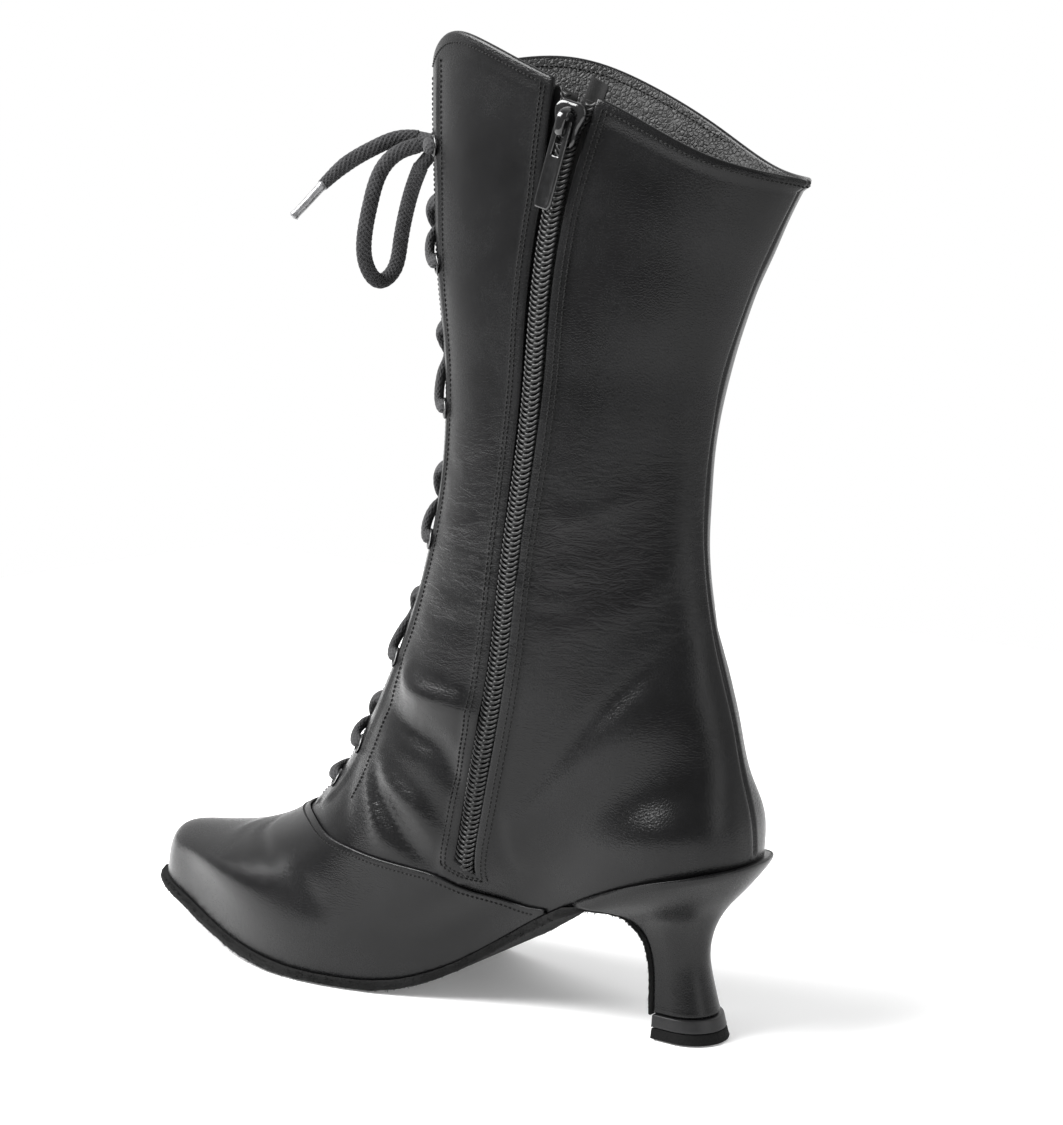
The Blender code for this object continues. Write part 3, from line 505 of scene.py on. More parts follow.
def shell(name, top, under, materials, kept=None, ring=False):
    """A closed sheet between two grids with half-round edges; the second material is on the inside."""
    rows, columns = top.shape[:2]
    across = columns if ring else columns - 1
    if kept is None:
        kept = np.ones((rows - 1, across), bool)
    count = rows * columns
    i, j = np.nonzero(kept)
    after = (j + 1) % columns
    low, high = i * columns, (i + 1) * columns
    cells = np.stack([low + j, low + after, high + after, high + j], -1)
    ends = np.concatenate([cells[:, [k, (k + 1) % 4]] for k in range(4)])
    lone = ~np.isin(ends[:, 0] * count + ends[:, 1], ends[:, 1] * count + ends[:, 0])
    edges = ends[lone]
    outer = top.reshape(-1, 3)
    inner = under.reshape(-1, 3)
    normal = outer - inner
    first = cells[len(cells) // 2]
    corner = outer[first[0]]
    facing = np.cross(outer[first[1]] - corner, outer[first[3]] - corner) @ normal[first[0]]
    push = np.zeros_like(outer)
    away = np.cross(outer[edges[:, 1]] - outer[edges[:, 0]], normal[edges[:, 0]]) * np.sign(facing)
    away /= np.linalg.norm(away, axis=1, keepdims=True)
    for end in (0, 1):
        np.add.at(push, edges[:, end], away)
    spots = np.unique(edges)
    push = push[spots] / np.linalg.norm(push[spots], axis=1, keepdims=True)
    place = np.full(count, -1)
    place[spots] = np.arange(len(spots))
    middle = (outer[spots] + inner[spots]) / 2
    half = outer[spots] - middle
    reach = push * np.linalg.norm(half, axis=1, keepdims=True)
    angles = np.pi * np.arange(1, RIM_STEPS + 1) / (RIM_STEPS + 1)
    rims = [middle + half * math.cos(a) + reach * math.sin(a) for a in angles]
    starts = [2 * count + k * len(spots) for k in range(RIM_STEPS)]
    chains = [edges] + [place[edges] + start for start in starts] + [edges + count]
    faces = [cells, cells[:, ::-1] + count]
    for one, two in zip(chains, chains[1:]):
        faces.append(np.stack([one[:, 1], one[:, 0], two[:, 0], two[:, 1]], -1))
    slots = np.zeros(sum(map(len, faces)), int)
    slots[len(cells):2 * len(cells)] = len(materials) - 1
    return new_object(name, np.concatenate([outer, inner, *rims]), np.concatenate(faces), materials, slots)


def loft_faces(rows, many, start=0):
    """Faces of a closed loft of rows rings with many points each."""
    faces = [list(range(start, start + many)), list(range(start + (rows - 1) * many, start + rows * many))]
    for i in range(rows - 1):
        for j in range(many):
            after = (j + 1) % many
            low = start + i * many
            faces.append([low + j, low + many + j, low + many + after, low + after])
    return faces


def loft(name, rings, material):
    """A closed solid through rings with equally many points."""
    return new_object(name, np.concatenate(rings), loft_faces(len(rings), len(rings[0])), [material])


def across_path(points, flat):
    """Width and thickness directions along a path whose flat side faces the directions flat."""
    along = unit(np.gradient(np.asarray(points, float), axis=0))
    thick = np.broadcast_to(flat, along.shape)
    thick = unit(thick - along * (thick * along).sum(1, keepdims=True))
    return np.cross(along, thick), thick


# Materials. Most values of a noise lie in this range.
NOISE_RANGE = (0.3, 0.7)


def add_node(tree, kind, inputs=None, **settings):
    node = tree.nodes.new(kind)
    for key, value in settings.items():
        setattr(node, key, value)
    for key, value in (inputs or {}).items():
        if isinstance(value, bpy.types.NodeSocket):
            tree.links.new(value, node.inputs[key])
        else:
            node.inputs[key].default_value = value
    return node


def start_material(name, **constants):
    material = bpy.data.materials.new(name)
    material.use_nodes = True
    tree = material.node_tree
    shader = tree.nodes["Principled BSDF"]
    for key, value in constants.items():
        shader.inputs[key.replace("_", " ").title().replace("Ior", "IOR")].default_value = value
    place = add_node(tree, "ShaderNodeTexCoord").outputs["Object"]
    return material, tree, shader, place


def math_node(tree, operation, one, two=0.0):
    return add_node(tree, "ShaderNodeMath", {0: one, 1: two}, operation=operation).outputs[0]


def spread(tree, value, low, high, from_low=0.0, from_high=1.0):
    inputs = {"Value": value, "From Min": from_low, "From Max": from_high, "To Min": low, "To Max": high}
    return add_node(tree, "ShaderNodeMapRange", inputs).outputs[0]


def noise(tree, place, scale, detail=3.0, roughness=0.55, distortion=0.0):
    inputs = {"Vector": place, "Scale": scale, "Detail": detail, "Roughness": roughness}
    inputs["Distortion"] = distortion
    return add_node(tree, "ShaderNodeTexNoise", inputs).outputs[0]


def colours(tree, value, dark, light):
    ramp = add_node(tree, "ShaderNodeValToRGB", {0: value})
    for element, colour, position in zip(ramp.color_ramp.elements, (dark, light), NOISE_RANGE):
        element.color = (*colour, 1)
        element.position = position
    return ramp.outputs[0]


def bump(tree, height, distance, strength=1.0, under=None):
    inputs = {"Height": height, "Distance": distance, "Strength": strength}
    if under is not None:
        inputs["Normal"] = under
    return add_node(tree, "ShaderNodeBump", inputs).outputs[0]


def mixed(tree, one, two):
    """Six parts of one value and four of another."""
    more = math_node(tree, "MULTIPLY", one, 0.6)
    return math_node(tree, "ADD", more, math_node(tree, "MULTIPLY", two, 0.4))


def wire(tree, shader, colour, rough, normal):
    """Links a material's colour, roughness and normal to its shader."""
    for key, value in (("Base Color", colour), ("Roughness", rough), ("Normal", normal)):
        tree.links.new(value, shader.inputs[key])


# Height of the ankle and how far from it the leather creases, in metres.
ANKLE_HEIGHT = 0.155
ANKLE_REACH = 0.06
# Scales of the noise in the materials, per metre.
FINE_GRAIN = 2200
CREASES = (110, 110, 380)
CLOUDS = 34
SUEDE_PATCHES = 55
RUBBED_SPOTS = 420
ORANGE_PEEL = 900
FIBRE = 2600
FIBRE_PATCHES = 260


def leather_material(name, dark, light, rough, grain_mm, grain_depth, crease_depth, gloss):
    """Grained leather: cell grain, fine creases that are deeper round the ankle, cloudy colour and gloss."""
    material, tree, shader, place = start_material(name, specular_ior_level=gloss)
    cells = add_node(tree, "ShaderNodeTexVoronoi", {"Vector": place, "Scale": 1 / (grain_mm * MM)})
    cells.feature = "DISTANCE_TO_EDGE"
    pebble = spread(tree, cells.outputs["Distance"], 0.0, 1.0, 0.0, 0.25)
    fine = noise(tree, place, FINE_GRAIN, 2.0)
    grain = math_node(tree, "ADD", pebble, math_node(tree, "MULTIPLY", fine, 0.8))
    stretched = add_node(tree, "ShaderNodeMapping", {"Vector": place, "Scale": CREASES}).outputs[0]
    crease = noise(tree, stretched, 1.0, 5.0, 0.6, 1.2)
    height = add_node(tree, "ShaderNodeSeparateXYZ", {"Vector": place}).outputs["Z"]
    away = math_node(tree, "ABSOLUTE", math_node(tree, "SUBTRACT", height, ANKLE_HEIGHT))
    worn = spread(tree, away, 1.0, 0.1, 0.0, ANKLE_REACH)
    clouds = noise(tree, place, CLOUDS, 4.0, 0.6)
    folded = bump(tree, math_node(tree, "MULTIPLY", crease, worn), crease_depth * MM)
    roughness = spread(tree, mixed(tree, clouds, fine), *rough, *NOISE_RANGE)
    normal = bump(tree, grain, grain_depth * MM, 1.0, folded)
    wire(tree, shader, colours(tree, clouds, dark, light), roughness, normal)
    return material


def suede_material(name, dark, light, nap_mm):
    """Matt suede or rubber with a fine nap and uneven patches."""
    material, tree, shader, place = start_material(name, sheen_weight=0.04, specular_ior_level=0.1)
    nap = noise(tree, place, 1 / (nap_mm * MM), 4.0, 0.7, 0.6)
    patches = noise(tree, place, SUEDE_PATCHES, 4.0, 0.65)
    rough = spread(tree, nap, 0.85, 1.0)
    wire(tree, shader, colours(tree, patches, dark, light), rough, bump(tree, nap, 0.4 * MM))
    return material


def gloss_material(name, dark, light, rough, gloss):
    """Painted metal or hard plastic with faint orange peel, dust and rubbed spots."""
    material, tree, shader, place = start_material(name, specular_ior_level=gloss)
    rubbed = noise(tree, place, RUBBED_SPOTS, 4.0, 0.65)
    peel = noise(tree, place, ORANGE_PEEL, 2.0)
    roughness = spread(tree, rubbed, *rough, *NOISE_RANGE)
    wire(tree, shader, colours(tree, rubbed, dark, light), roughness, bump(tree, peel, 0.03 * MM))
    return material


def cord_material(name, dark, light):
    """Cord, thread or woven tape: fine fibres in uneven shades."""
    material, tree, shader, place = start_material(name, sheen_weight=0.08, specular_ior_level=0.2)
    fibre = noise(tree, place, FIBRE, 3.0, 0.7)
    patches = noise(tree, place, FIBRE_PATCHES, 3.0)
    colour = colours(tree, mixed(tree, fibre, patches), dark, light)
    wire(tree, shader, colour, spread(tree, fibre, 0.65, 0.9), bump(tree, fibre, 0.15 * MM))
    return material


def grey(dark, light, tint=1.0):
    """A dark and a light grey, a little blue where tint is above one."""
    return (dark, dark, dark * tint), (light, light, light * tint)


BLACK = grey(0.003, 0.007, 1.05)
LEATHER = leather_material("black_leather", *BLACK, (0.2, 0.31), 0.9, 0.028, 0.33, 0.195)
VAMP_LEATHER = leather_material("vamp_leather", *BLACK, (0.2, 0.3), 0.9, 0.025, 0.25, 0.205)
HEEL_LEATHER = leather_material("heel_leather", *BLACK, (0.22, 0.32), 0.8, 0.02, 0.05, 0.215)
LINING = leather_material("lining_leather", *grey(0.012, 0.03), (0.42, 0.6), 1.5, 0.22, 0.1, 0.3)
TONGUE_LEATHER = leather_material("tongue_leather", *grey(0.008, 0.014), (0.45, 0.6), 0.9, 0.05, 0.2, 0.25)
INSOLE_LEATHER = leather_material(
    "insole_leather", *grey(0.016, 0.03, 0.95), (0.55, 0.7), 1.0, 0.05, 0.2, 0.25)
STACK = leather_material("heel_stack", *grey(0.007, 0.013, 1.05), (0.3, 0.42), 0.6, 0.02, 0.05, 0.28)
SUEDE = suede_material("sole_suede", *grey(0.003, 0.009), 0.5)
RUBBER = suede_material("heel_rubber", *grey(0.003, 0.007), 0.9)
ZIP_CLOTH = cord_material("zip_cloth", *grey(0.003, 0.007))
COIL = gloss_material("zip_coil", *grey(0.006, 0.012), (0.3, 0.45), 0.3)
METAL = gloss_material("black_metal", *grey(0.004, 0.008, 1.05), (0.08, 0.18), 0.6)
CORD = cord_material("lace_cord", *grey(0.01, 0.05, 1.04))
THREAD = cord_material("thread", *grey(0.001, 0.004))
CLEAR = gloss_material("lace_tip_plastic", *grey(0.06, 0.2, 1.03), (0.05, 0.14), 1.0)


# Upper with its lining, cut open for the laced front and the zip. Its grid has rows below and above the
# vamp's edge, and columns for the outer side, throat, inner side, zip slot and the side behind the slot.
VAMP_ROWS = 14
SHAFT_ROWS = 130
ROWS = VAMP_ROWS + SHAFT_ROWS
SPANS = (84, 6, 46, 4, 46)
THROAT_SPAN = 1
ZIP_SPAN = 3
# Shares of even and of eased steps in a span of columns, radius of the slot's foot.
EVEN_SHARE = 0.45
EASED_SHARE = 0.55
FOOT_ROUND = 1.2
# Depth of the tongue's soft hollows.
TONGUE_SOFT = 0.25


def row_level(row, turn):
    edge = np.maximum(vamp_level(turn), LEAST_EDGE)
    low = edge * row / VAMP_ROWS
    high = edge + (COLLAR - edge) * (row - VAMP_ROWS) / SHAFT_ROWS
    return np.where(row <= VAMP_ROWS, low, high)


def eased(start, end, count):
    """Steps from start, closer together near both ends, without the end itself."""
    part = np.arange(count) / count
    return start + (end - start) * (EVEN_SHARE * part + EASED_SHARE * (1 - np.cos(np.pi * part)) / 2)


def zip_level(row):
    """Level at which a grid row meets the zip line."""
    level = 0.0
    for _ in range(6):
        level = float(row_level(np.array(row), zip_turn(level)))
    return level


def row_turns(row):
    front_level = float(row_level(np.array(max(row, VAMP_ROWS)), np.array(0.0)))
    facing = float(throat_turn(front_level)[0])
    if row < VAMP_ROWS:
        facing = np.interp(row, (0, VAMP_ROWS), (TOE_TURN, facing))
    level = zip_level(row)
    middle = float(slot_turn(level))
    near = 0.01
    before, after = row_level(np.array(row), np.array([middle - near, middle + near]))
    width = zip_width(level, (before - after) / (2 * near))[0]
    rounded = np.clip((level - ZIP_FOOT[1] + FOOT_ROUND) / (2 * FOOT_ROUND), 0.5, 1)
    slot = slot_half(level) * math.sqrt(1 - (1 - rounded) ** 2) / width
    marks = (-1.0, -facing, facing, middle - slot, middle + slot, 1.0)
    return np.concatenate([eased(a, b, count) for a, b, count in zip(marks, marks[1:], SPANS)])


def upper_grid():
    turns = np.stack([row_turns(row) for row in range(ROWS + 1)])
    rows = np.repeat(np.arange(ROWS + 1)[:, None], turns.shape[1], 1)
    return turns, row_level(rows, turns)


def build_upper():
    turns, levels = upper_grid()
    starts = np.cumsum((0,) + SPANS)
    kept = np.ones((ROWS, turns.shape[1]), bool)
    kept[VAMP_ROWS:, starts[THROAT_SPAN]:starts[THROAT_SPAN + 1]] = False
    zip_row = int(np.searchsorted([zip_level(row) for row in range(ROWS + 1)], ZIP_FOOT[1]))
    kept[zip_row:, starts[ZIP_SPAN]:starts[ZIP_SPAN + 1]] = False
    outer = dress_grid(turns, levels, 0)
    inner = dress_grid(turns, levels, -WALL)
    piece = shell("upper_leather", outer, inner, [LEATHER, LINING], kept, ring=True)
    dressed(piece, "black_leather", "upper")


def build_vamp():
    columns = 190
    rows = 46
    turns = np.broadcast_to(np.linspace(-VAMP_END_TURN, VAMP_END_TURN, columns), (rows + 1, columns))
    levels = vamp_level(turns) * (np.arange(rows + 1) / rows)[:, None]
    outer = dress_grid(turns, levels, GAP + VAMP_THICKNESS)
    inner = dress_grid(turns, levels, GAP)
    dressed(shell("vamp_leather", outer, inner, [VAMP_LEATHER]), "vamp_leather", "vamp")


def strip_grid(middle, half, levels, columns):
    """Turns and levels of a strip of constant width that follows the turn middle(level)."""
    levels = np.asarray(levels, float)
    centre = np.broadcast_to(middle(levels), levels.shape)
    reach = half / turn_width(centre, levels)
    turns = centre[:, None] + reach[:, None] * np.linspace(-1, 1, columns)
    return turns, np.repeat(levels[:, None], columns, 1)


def build_tongue():
    turns, levels = strip_grid(lambda level: 0.0 * level, TONGUE_HALF, np.linspace(*TONGUE_LEVELS, 90), 24)
    top = -WALL - TONGUE_GAP
    soft = TONGUE_SOFT * np.sin(levels * 0.11 + turns * 9) * np.sin(levels * 0.043)
    outer = skin_grid(turns, levels, top + soft - TONGUE_SOFT)
    inner = skin_grid(turns, levels, top - TONGUE_THICKNESS + soft)
    dressed(shell("tongue_leather", outer, inner, [TONGUE_LEATHER]), "tongue_leather", "tongue")


# Sole, insole and heel.
SOLE_THICKNESS = 3.4
SOLE_GAP = 0.6
SOLE_EDGE = 2.2
SOLE_BACK = 63.0
TOE_RUN = 12.0
BALL_BACK = 160.0
INSOLE_INSET = 4.2
INSOLE_ENDS = (10.5, 245.0)
INSOLE_THICKNESS = 2.0
INSOLE_DISH = 0.4
FLAP_THICKNESS = 1.6
# Section of the heel at which the flap down its breast begins.
FLAP_START = 9
# Points across the sole, round its toe and along the rest of it, and those of the insole.
SOLE_ACROSS = 31
TOE_MARKS = 40
SOLE_MARKS = 50
INSOLE_ACROSS = 25
INSOLE_MARKS = 80
# Heel sections from the seat down: back along, back height, breast along, breast height, half width, share
# of the D shape. The first two follow the seat, and their heights are drops below it.
HEEL = (
    (2.2, 0.0, 57.0, 0.0, 21.5, 0.0),
    (2.0, 2.2, 55.5, 2.2, 20.5, 0.0),
    (8.3, 51.0, 44.8, 42.2, 18.0, 0.5),
    (14.9, 43.0, 39.8, 39.0, 14.6, 0.9),
    (18.9, 34.9, 36.4, 33.6, 11.8, 1.0),
    (19.9, 27.8, 34.9, 27.4, 10.0, 1.0),
    (18.8, 20.4, 33.8, 20.4, 9.8, 1.0),
    (15.4, 8.2, 32.8, 8.2, 11.0, 1.0),
)
SEAT_ROWS = 2
HEEL_STEPS = 57
HEEL_GROWTH = 1.8
LIFT_TOP = 7.9
LIFT_GROWTH = 0.7
TIP_TOP = 3.5
HEEL_FOOT = (14.2, 32.8, 11.0)
TIP_FOOT = (11.9, 32.6, 12.0)
HEEL_POINTS = 74
BREAST_POINTS = 22
# Rounding of the edges of the heel, its lift and its tip, the angles of that rounding, and rings of a layer.
HEEL_EDGE = 0.8
LIFT_EDGE = 0.35
TIP_EDGE = 0.5
EDGE_ANGLES = np.radians((70, 45, 20))
LAYER_RINGS = 5
FRAY = 0.07
FRAY_SEEDS = (3, 4)
FIBRES = 1500
FIBRE_SEED = 8
FIBRE_LENGTHS = (0.5, 1.3)
FIBRE_RADIUS = 0.15
# Angle over which the fibres fan out, how deep they root, how far they stray, and their least heights.
FIBRE_FAN = 1.3
FIBRE_ROOT = 0.95
FIBRE_STRAY = 0.5
ROOT_FLOOR = 0.3
TIP_FLOOR = 0.1


def world(x, along, height):
    return np.stack(np.broadcast_arrays(x + CENTRE_X, BACK_Y - np.asarray(along, float), height), -1)


def flat_outline(along, growth):
    """Middle and half width of the feather line grown by growth."""
    inside = np.clip(along, HEEL_BACK, LENGTH - 0.2)
    edges = np.array([edge_x(inside, True), edge_x(inside, False)])
    return edges.mean(0), (edges[0] - edges[1]) / 2 + growth


def heel_rows():
    """The heel's sections at even steps, with the seat rows' drops turned into heights."""
    table = np.array(HEEL, float)
    for row in table[:SEAT_ROWS]:
        row[1] = bottom(np.array([row[0]]))[0] - GAP - row[1]
        row[3] = bottom(np.array([row[2]]))[0] - GAP - row[3]
    steps = np.linspace(0, len(table) - 1, HEEL_STEPS)
    rows = spline(np.arange(len(table)), table, steps)
    rows[:, 5] = np.where(steps <= SEAT_ROWS - 1, 0, np.clip(rows[:, 5], 0, 1))
    return rows


def frayed(points, amount, seed):
    """Points moved a little at random, as a cut suede edge is."""
    return points + np.random.default_rng(seed).normal(0, amount, points.shape)


def build_fibres(edges):
    """Loose suede fibres along the cut edges, each edge given as its middle line and half thicknesses."""
    chance = np.random.default_rng(FIBRE_SEED)
    points = []
    faces = []
    for (line, halves), side in zip(edges, (-1, 1)):
        count = np.arange(len(line))
        for spot in np.sort(chance.uniform(0, len(line) - 1, FIBRES)):
            place = read_columns(spot, count, line)
            angle = chance.uniform(-FIBRE_FAN, FIBRE_FAN)
            way = np.array([side * math.cos(angle), 0, math.sin(angle)])
            place = place + way * np.interp(spot, count, halves) * FIBRE_ROOT
            place[2] = max(place[2], ROOT_FLOOR)
            way = unit(way + chance.normal(0, FIBRE_STRAY, 3))
            across, deep = (unit(np.cross(way, axis)) for axis in ((0.2, 1, 0.1), (0.1, 0.3, 1)))
            start = len(points)
            points += [place + FIBRE_RADIUS * step for step in (across, deep, -across, -deep)]
            tip = place + way * chance.uniform(*FIBRE_LENGTHS)
            tip[2] = max(tip[2], TIP_FLOOR)
            points.append(tip)
            faces += [[start + k, start + (k + 1) % 4, start + 4] for k in range(4)]
            faces.append([start + k for k in range(4)])
    dressed(new_object("sole_fibres", points, faces, [SUEDE]), "sole_suede")


def build_outsole():
    across = np.linspace(-1, 1, SOLE_ACROSS)
    quarter = np.linspace(0, np.pi / 2, TOE_MARKS)[:-1]
    toe = LENGTH - (LENGTH - BALL_BACK) * (1 - np.cos(quarter))
    stations = np.concatenate([toe, np.linspace(BALL_BACK, SOLE_BACK, SOLE_MARKS)])
    middle, half = flat_outline(stations, SOLE_EDGE)
    near_toe = np.clip((stations - LENGTH + TOE_RUN) / TOE_RUN, 0, 1)
    reach = stations + SOLE_EDGE * near_toe**2
    x = middle[:, None] + half[:, None] * across
    seat = bottom(stations)[:, None]
    top = [world(x, reach[:, None], seat - SOLE_GAP)]
    under = [world(x, reach[:, None], np.maximum(0.0, seat - SOLE_GAP - SOLE_THICKNESS))]
    path = heel_rows()[FLAP_START:, 2:5]
    slope = unit(np.gradient(path[:, :2], axis=0))
    out = np.column_stack([-slope[:, 1], slope[:, 0]])
    for pile, gap in ((top, GAP), (under, GAP + FLAP_THICKNESS)):
        place = path[:, :2] + out * gap
        pile.append(world(path[:, 2:3] * across, place[:, :1], place[:, 1:2]))
    top = np.concatenate(top)
    under = np.concatenate(under)
    for pile, seed in zip((top, under), FRAY_SEEDS):
        for edge in (0, -1):
            pile[:, edge] = frayed(pile[:, edge], FRAY, seed + edge)
    under[..., 2] = np.maximum(under[..., 2], 0)
    dressed(shell("sole_suede", top, under, [SUEDE]), "sole_suede", "outsole")
    thickness = np.linalg.norm(top - under, axis=2)
    build_fibres([((top[:, edge] + under[:, edge]) / 2, thickness[:, edge] / 2) for edge in (0, -1)])


def build_insole():
    across = np.linspace(-1, 1, INSOLE_ACROSS)
    part = (1 + np.cos(np.linspace(0, np.pi, INSOLE_MARKS))) / 2
    stations = np.interp(part, (0, 1), INSOLE_ENDS)
    middle, half = flat_outline(stations, -INSOLE_INSET)
    x = middle[:, None] + half[:, None] * across
    seat = bottom(stations)[:, None]
    dish = INSOLE_DISH * (1 - across**2)
    low = world(x, stations[:, None], seat + GAP)
    high = world(x, stations[:, None], seat + GAP + INSOLE_THICKNESS - dish)
    dressed(shell("insole_leather", high, low, [INSOLE_LEATHER]), "insole_leather", "insole")


def d_shape(part):
    """Half width of a D-shaped section at a part of the way from its round back to its flat front."""
    round_part = 0.62
    return np.where(part < round_part, np.sqrt(np.maximum(0, 1 - (1 - part / round_part) ** 2)), 1.0)


def heel_ring(back, back_height, front, front_height, half, share):
    """One closed section of the heel: round the back from corner to corner, then over the breast."""
    turn = np.linspace(-1, 1, HEEL_POINTS)
    part = 1 - np.cos(np.pi / 2 * turn)
    along = back + (front - back) * part
    seat_middle, seat_half = flat_outline(np.clip(along - back + HEEL_BACK, HEEL_BACK, LENGTH), 0)
    seat_x = seat_middle + np.sign(turn) * seat_half * (1 + HEEL_GROWTH / np.maximum(seat_half, LEAST_HALF))
    block_x = np.sign(turn) * half * d_shape(part)
    x = seat_x * (1 - share) + block_x * share
    straight = np.interp(part, (0, 1), bottom(np.array([back, front])))
    height = back_height + (front_height - back_height) * part + (1 - share) * (bottom(along) - straight)
    side = world(x, along, height)
    over = np.linspace(0, 1, BREAST_POINTS + 2)[1:-1, None]
    return np.concatenate([side, side[-1] + (side[0] - side[-1]) * over])


def shrunk(ring, amount):
    """A ring pulled in towards its middle by an amount, to round off an edge."""
    middle = ring.mean(0)
    return ring - unit(ring - middle) * amount


def rounded_loft(name, rings, material, edge):
    """A closed loft whose two end edges are rounded over by the distance edge."""
    first, last = rings[0], rings[-1]
    rise = unit(rings[0].mean(0) - rings[1].mean(0)) * edge
    fall = unit(rings[-1].mean(0) - rings[-2].mean(0)) * edge
    before = [shrunk(first, edge * (1 - math.cos(a))) - rise * (1 - math.sin(a)) for a in EDGE_ANGLES]
    after = [shrunk(last, edge * (1 - math.cos(a))) - fall * (1 - math.sin(a)) for a in EDGE_ANGLES[::-1]]
    body = [first - rise] + list(rings[1:-1]) + [last - fall]
    return loft(name, before + body + after, material)


def build_heel():
    rings = [heel_ring(*row) for row in heel_rows()]
    dressed(rounded_loft("heel_cover", rings, HEEL_LEATHER, HEEL_EDGE), "heel_leather", "heel")
    back, front, half = HEEL_FOOT
    tip_back, tip_front, tip_half = TIP_FOOT
    middle = [(a + b) / 2 for a, b in zip(HEEL_FOOT, TIP_FOOT)]
    lift = [(back, front, half, LIFT_TOP), (*middle, TIP_TOP + GAP)]
    tip = [(*middle, TIP_TOP), (tip_back, tip_front, tip_half, 0.0)]
    made = (("heel_lift_layer", lift, STACK, "heel_stack", "heel_lift", LIFT_EDGE),
            ("heel_tip_rubber", tip, RUBBER, "heel_rubber", "heel_tip", TIP_EDGE))
    for name, ends, material, slot, node, edge in made:
        steps = np.linspace(0, 1, LAYER_RINGS)[:, None]
        levels = np.array(ends[0]) * (1 - steps) + np.array(ends[1]) * steps
        rings = [heel_ring(b, z, f, z, w + LIFT_GROWTH, 1.0) for b, f, w, z in levels]
        dressed(rounded_loft(name, rings, material, edge), slot, node)


# Zip with its tape, coils, slider and pull tab.
CHAIN_LEVELS = (33.0, 284.0)
TAPE_LEVELS = (31.5, 283.0)
TAPE_HALF = 12.0
TAPE_OPENS = 274.0
TAPE_GAP = 0.8
TAPE_THICKNESS = 0.6
TAPE_ACROSS = 15
# Rise of the tape behind the coil, and the share of its half width that rises.
TAPE_RISE = 1.2
TAPE_RISE_SHARE = 0.35
# Levels over which the tape's halves part fully, and the most that they part as a share of the half width.
TAPE_OPENING = 40.0
TAPE_OPEN_SHARE = 0.3
# Loose end of the tape: ends across and up the zip, depth, lean for each millimetre up, wave and slant.
END_ACROSS = (0.6, 7.0)
END_RISE = (-3.0, 7.0)
END_DEPTH = 2.2
END_LEAN = 0.12
END_WAVE = 0.25
END_SLANT = 0.18
END_MARKS = 9
CHAIN_MARKS = 1200
COIL_PITCH = 1.7
COIL_REACH = 3.4
COIL_SPREAD = ((270, 0.0), (284, 4.0))
COIL_MARKS = 11
COIL_RADIUS = 0.55
COIL_SIDES = 7
# Side of each coil row, and its place within one pitch.
COIL_OFFSETS = ((1, 0.25), (-1, 0.75))
SLIDER_LEVEL = 274.0
SLIDER_LENGTH = 14.0
SLIDER_HALF_TOP = 5.4
SLIDER_HALF_FOOT = 4.2
SLIDER_FOOT = 0.9
SLIDER_TOP = 3.4
BRIDGE_HALF_LENGTH = 3.6
BRIDGE_TOP = 7.7
# Half width and half thickness of the bridge's strip.
BRIDGE_HALVES = (1.2, 0.7)
BRIDGE_MARKS = 40
PULL_AXIS = 4.7
PULL_HALF = 2.9
PULL_THICKNESS = 1.4
PULL_BAR = 1.0
PULL_WINDOW_HALF = 1.8
PULL_WINDOW_LENGTH = 10.5
PULL_LENGTH = 27.0
# Cells of the tab's grid that its window leaves out, points of its sunk panel and that panel's depth.
PULL_WINDOW = np.s_[2:6, 2:5]
PULL_PANEL = np.s_[8:11, 2:6]
PANEL_DEPTH = 0.35
PULL_END_SHARE = 0.85


def zip_place(level):
    """Place on the zip line with its axes as columns: across towards the back, up the zip, outwards."""
    near = 0.5
    levels = np.array([level - near, level, level + near])
    points = skin(zip_turn(levels), levels)
    up = unit(points[2] - points[0])
    out = skin_normal(zip_turn(levels[1:2]), levels[1:2])[0][0]
    out = unit(out - up * (out @ up))
    return points[1], np.stack([np.cross(up, out), up, out], -1)


def tube_rings(points, radii, one, two, sides):
    angle = np.arange(sides) * 2 * np.pi / sides
    circle = np.cos(angle)[None, :, None] * one[:, None] + np.sin(angle)[None, :, None] * two[:, None]
    return points[:, None] + circle * np.asarray(radii, float)[:, None, None]


def build_coils():
    """Two rows of slanted coil turns that lock into each other along the zip."""
    levels = np.linspace(*CHAIN_LEVELS, CHAIN_MARKS)
    run = run_along(skin(zip_turn(levels), levels))
    # Marks of one turn from its root to its head.
    across = np.array([-1.0, -0.9, -0.5, -0.05, 0.2])
    height = np.array([-0.8, -0.1, 0.1, 0.2, -0.45])
    slant = np.array([0.85, 0.55, -0.15, -0.3, -0.1]) * COIL_PITCH
    along = np.linspace(0, 1, COIL_MARKS)
    radii = np.interp(along, (0, 0.2, 0.5, 0.82, 1), (0.6, 0.85, 0.9, 1.2, 0.7)) * COIL_RADIUS
    points = []
    faces = []
    for number in range(int(run[-1] / COIL_PITCH)):
        for side, offset in COIL_OFFSETS:
            level = np.interp((number + offset) * COIL_PITCH, run, levels)
            centre, axes = zip_place(level)
            reach = side * (read_table(level, COIL_SPREAD) - across * COIL_REACH)
            path = smooth_path(np.stack([reach, slant, height], -1), COIL_MARKS) @ axes.T + centre
            one, two = across_path(path, axes[:, 2])
            faces += loft_faces(len(path), COIL_SIDES, len(points) * COIL_SIDES)
            points += list(tube_rings(path, radii, one, two, COIL_SIDES))
    piece = new_object("zip_coils", np.concatenate(points), faces, [COIL])
    dressed(piece, "zip_coil", "zip_chain")


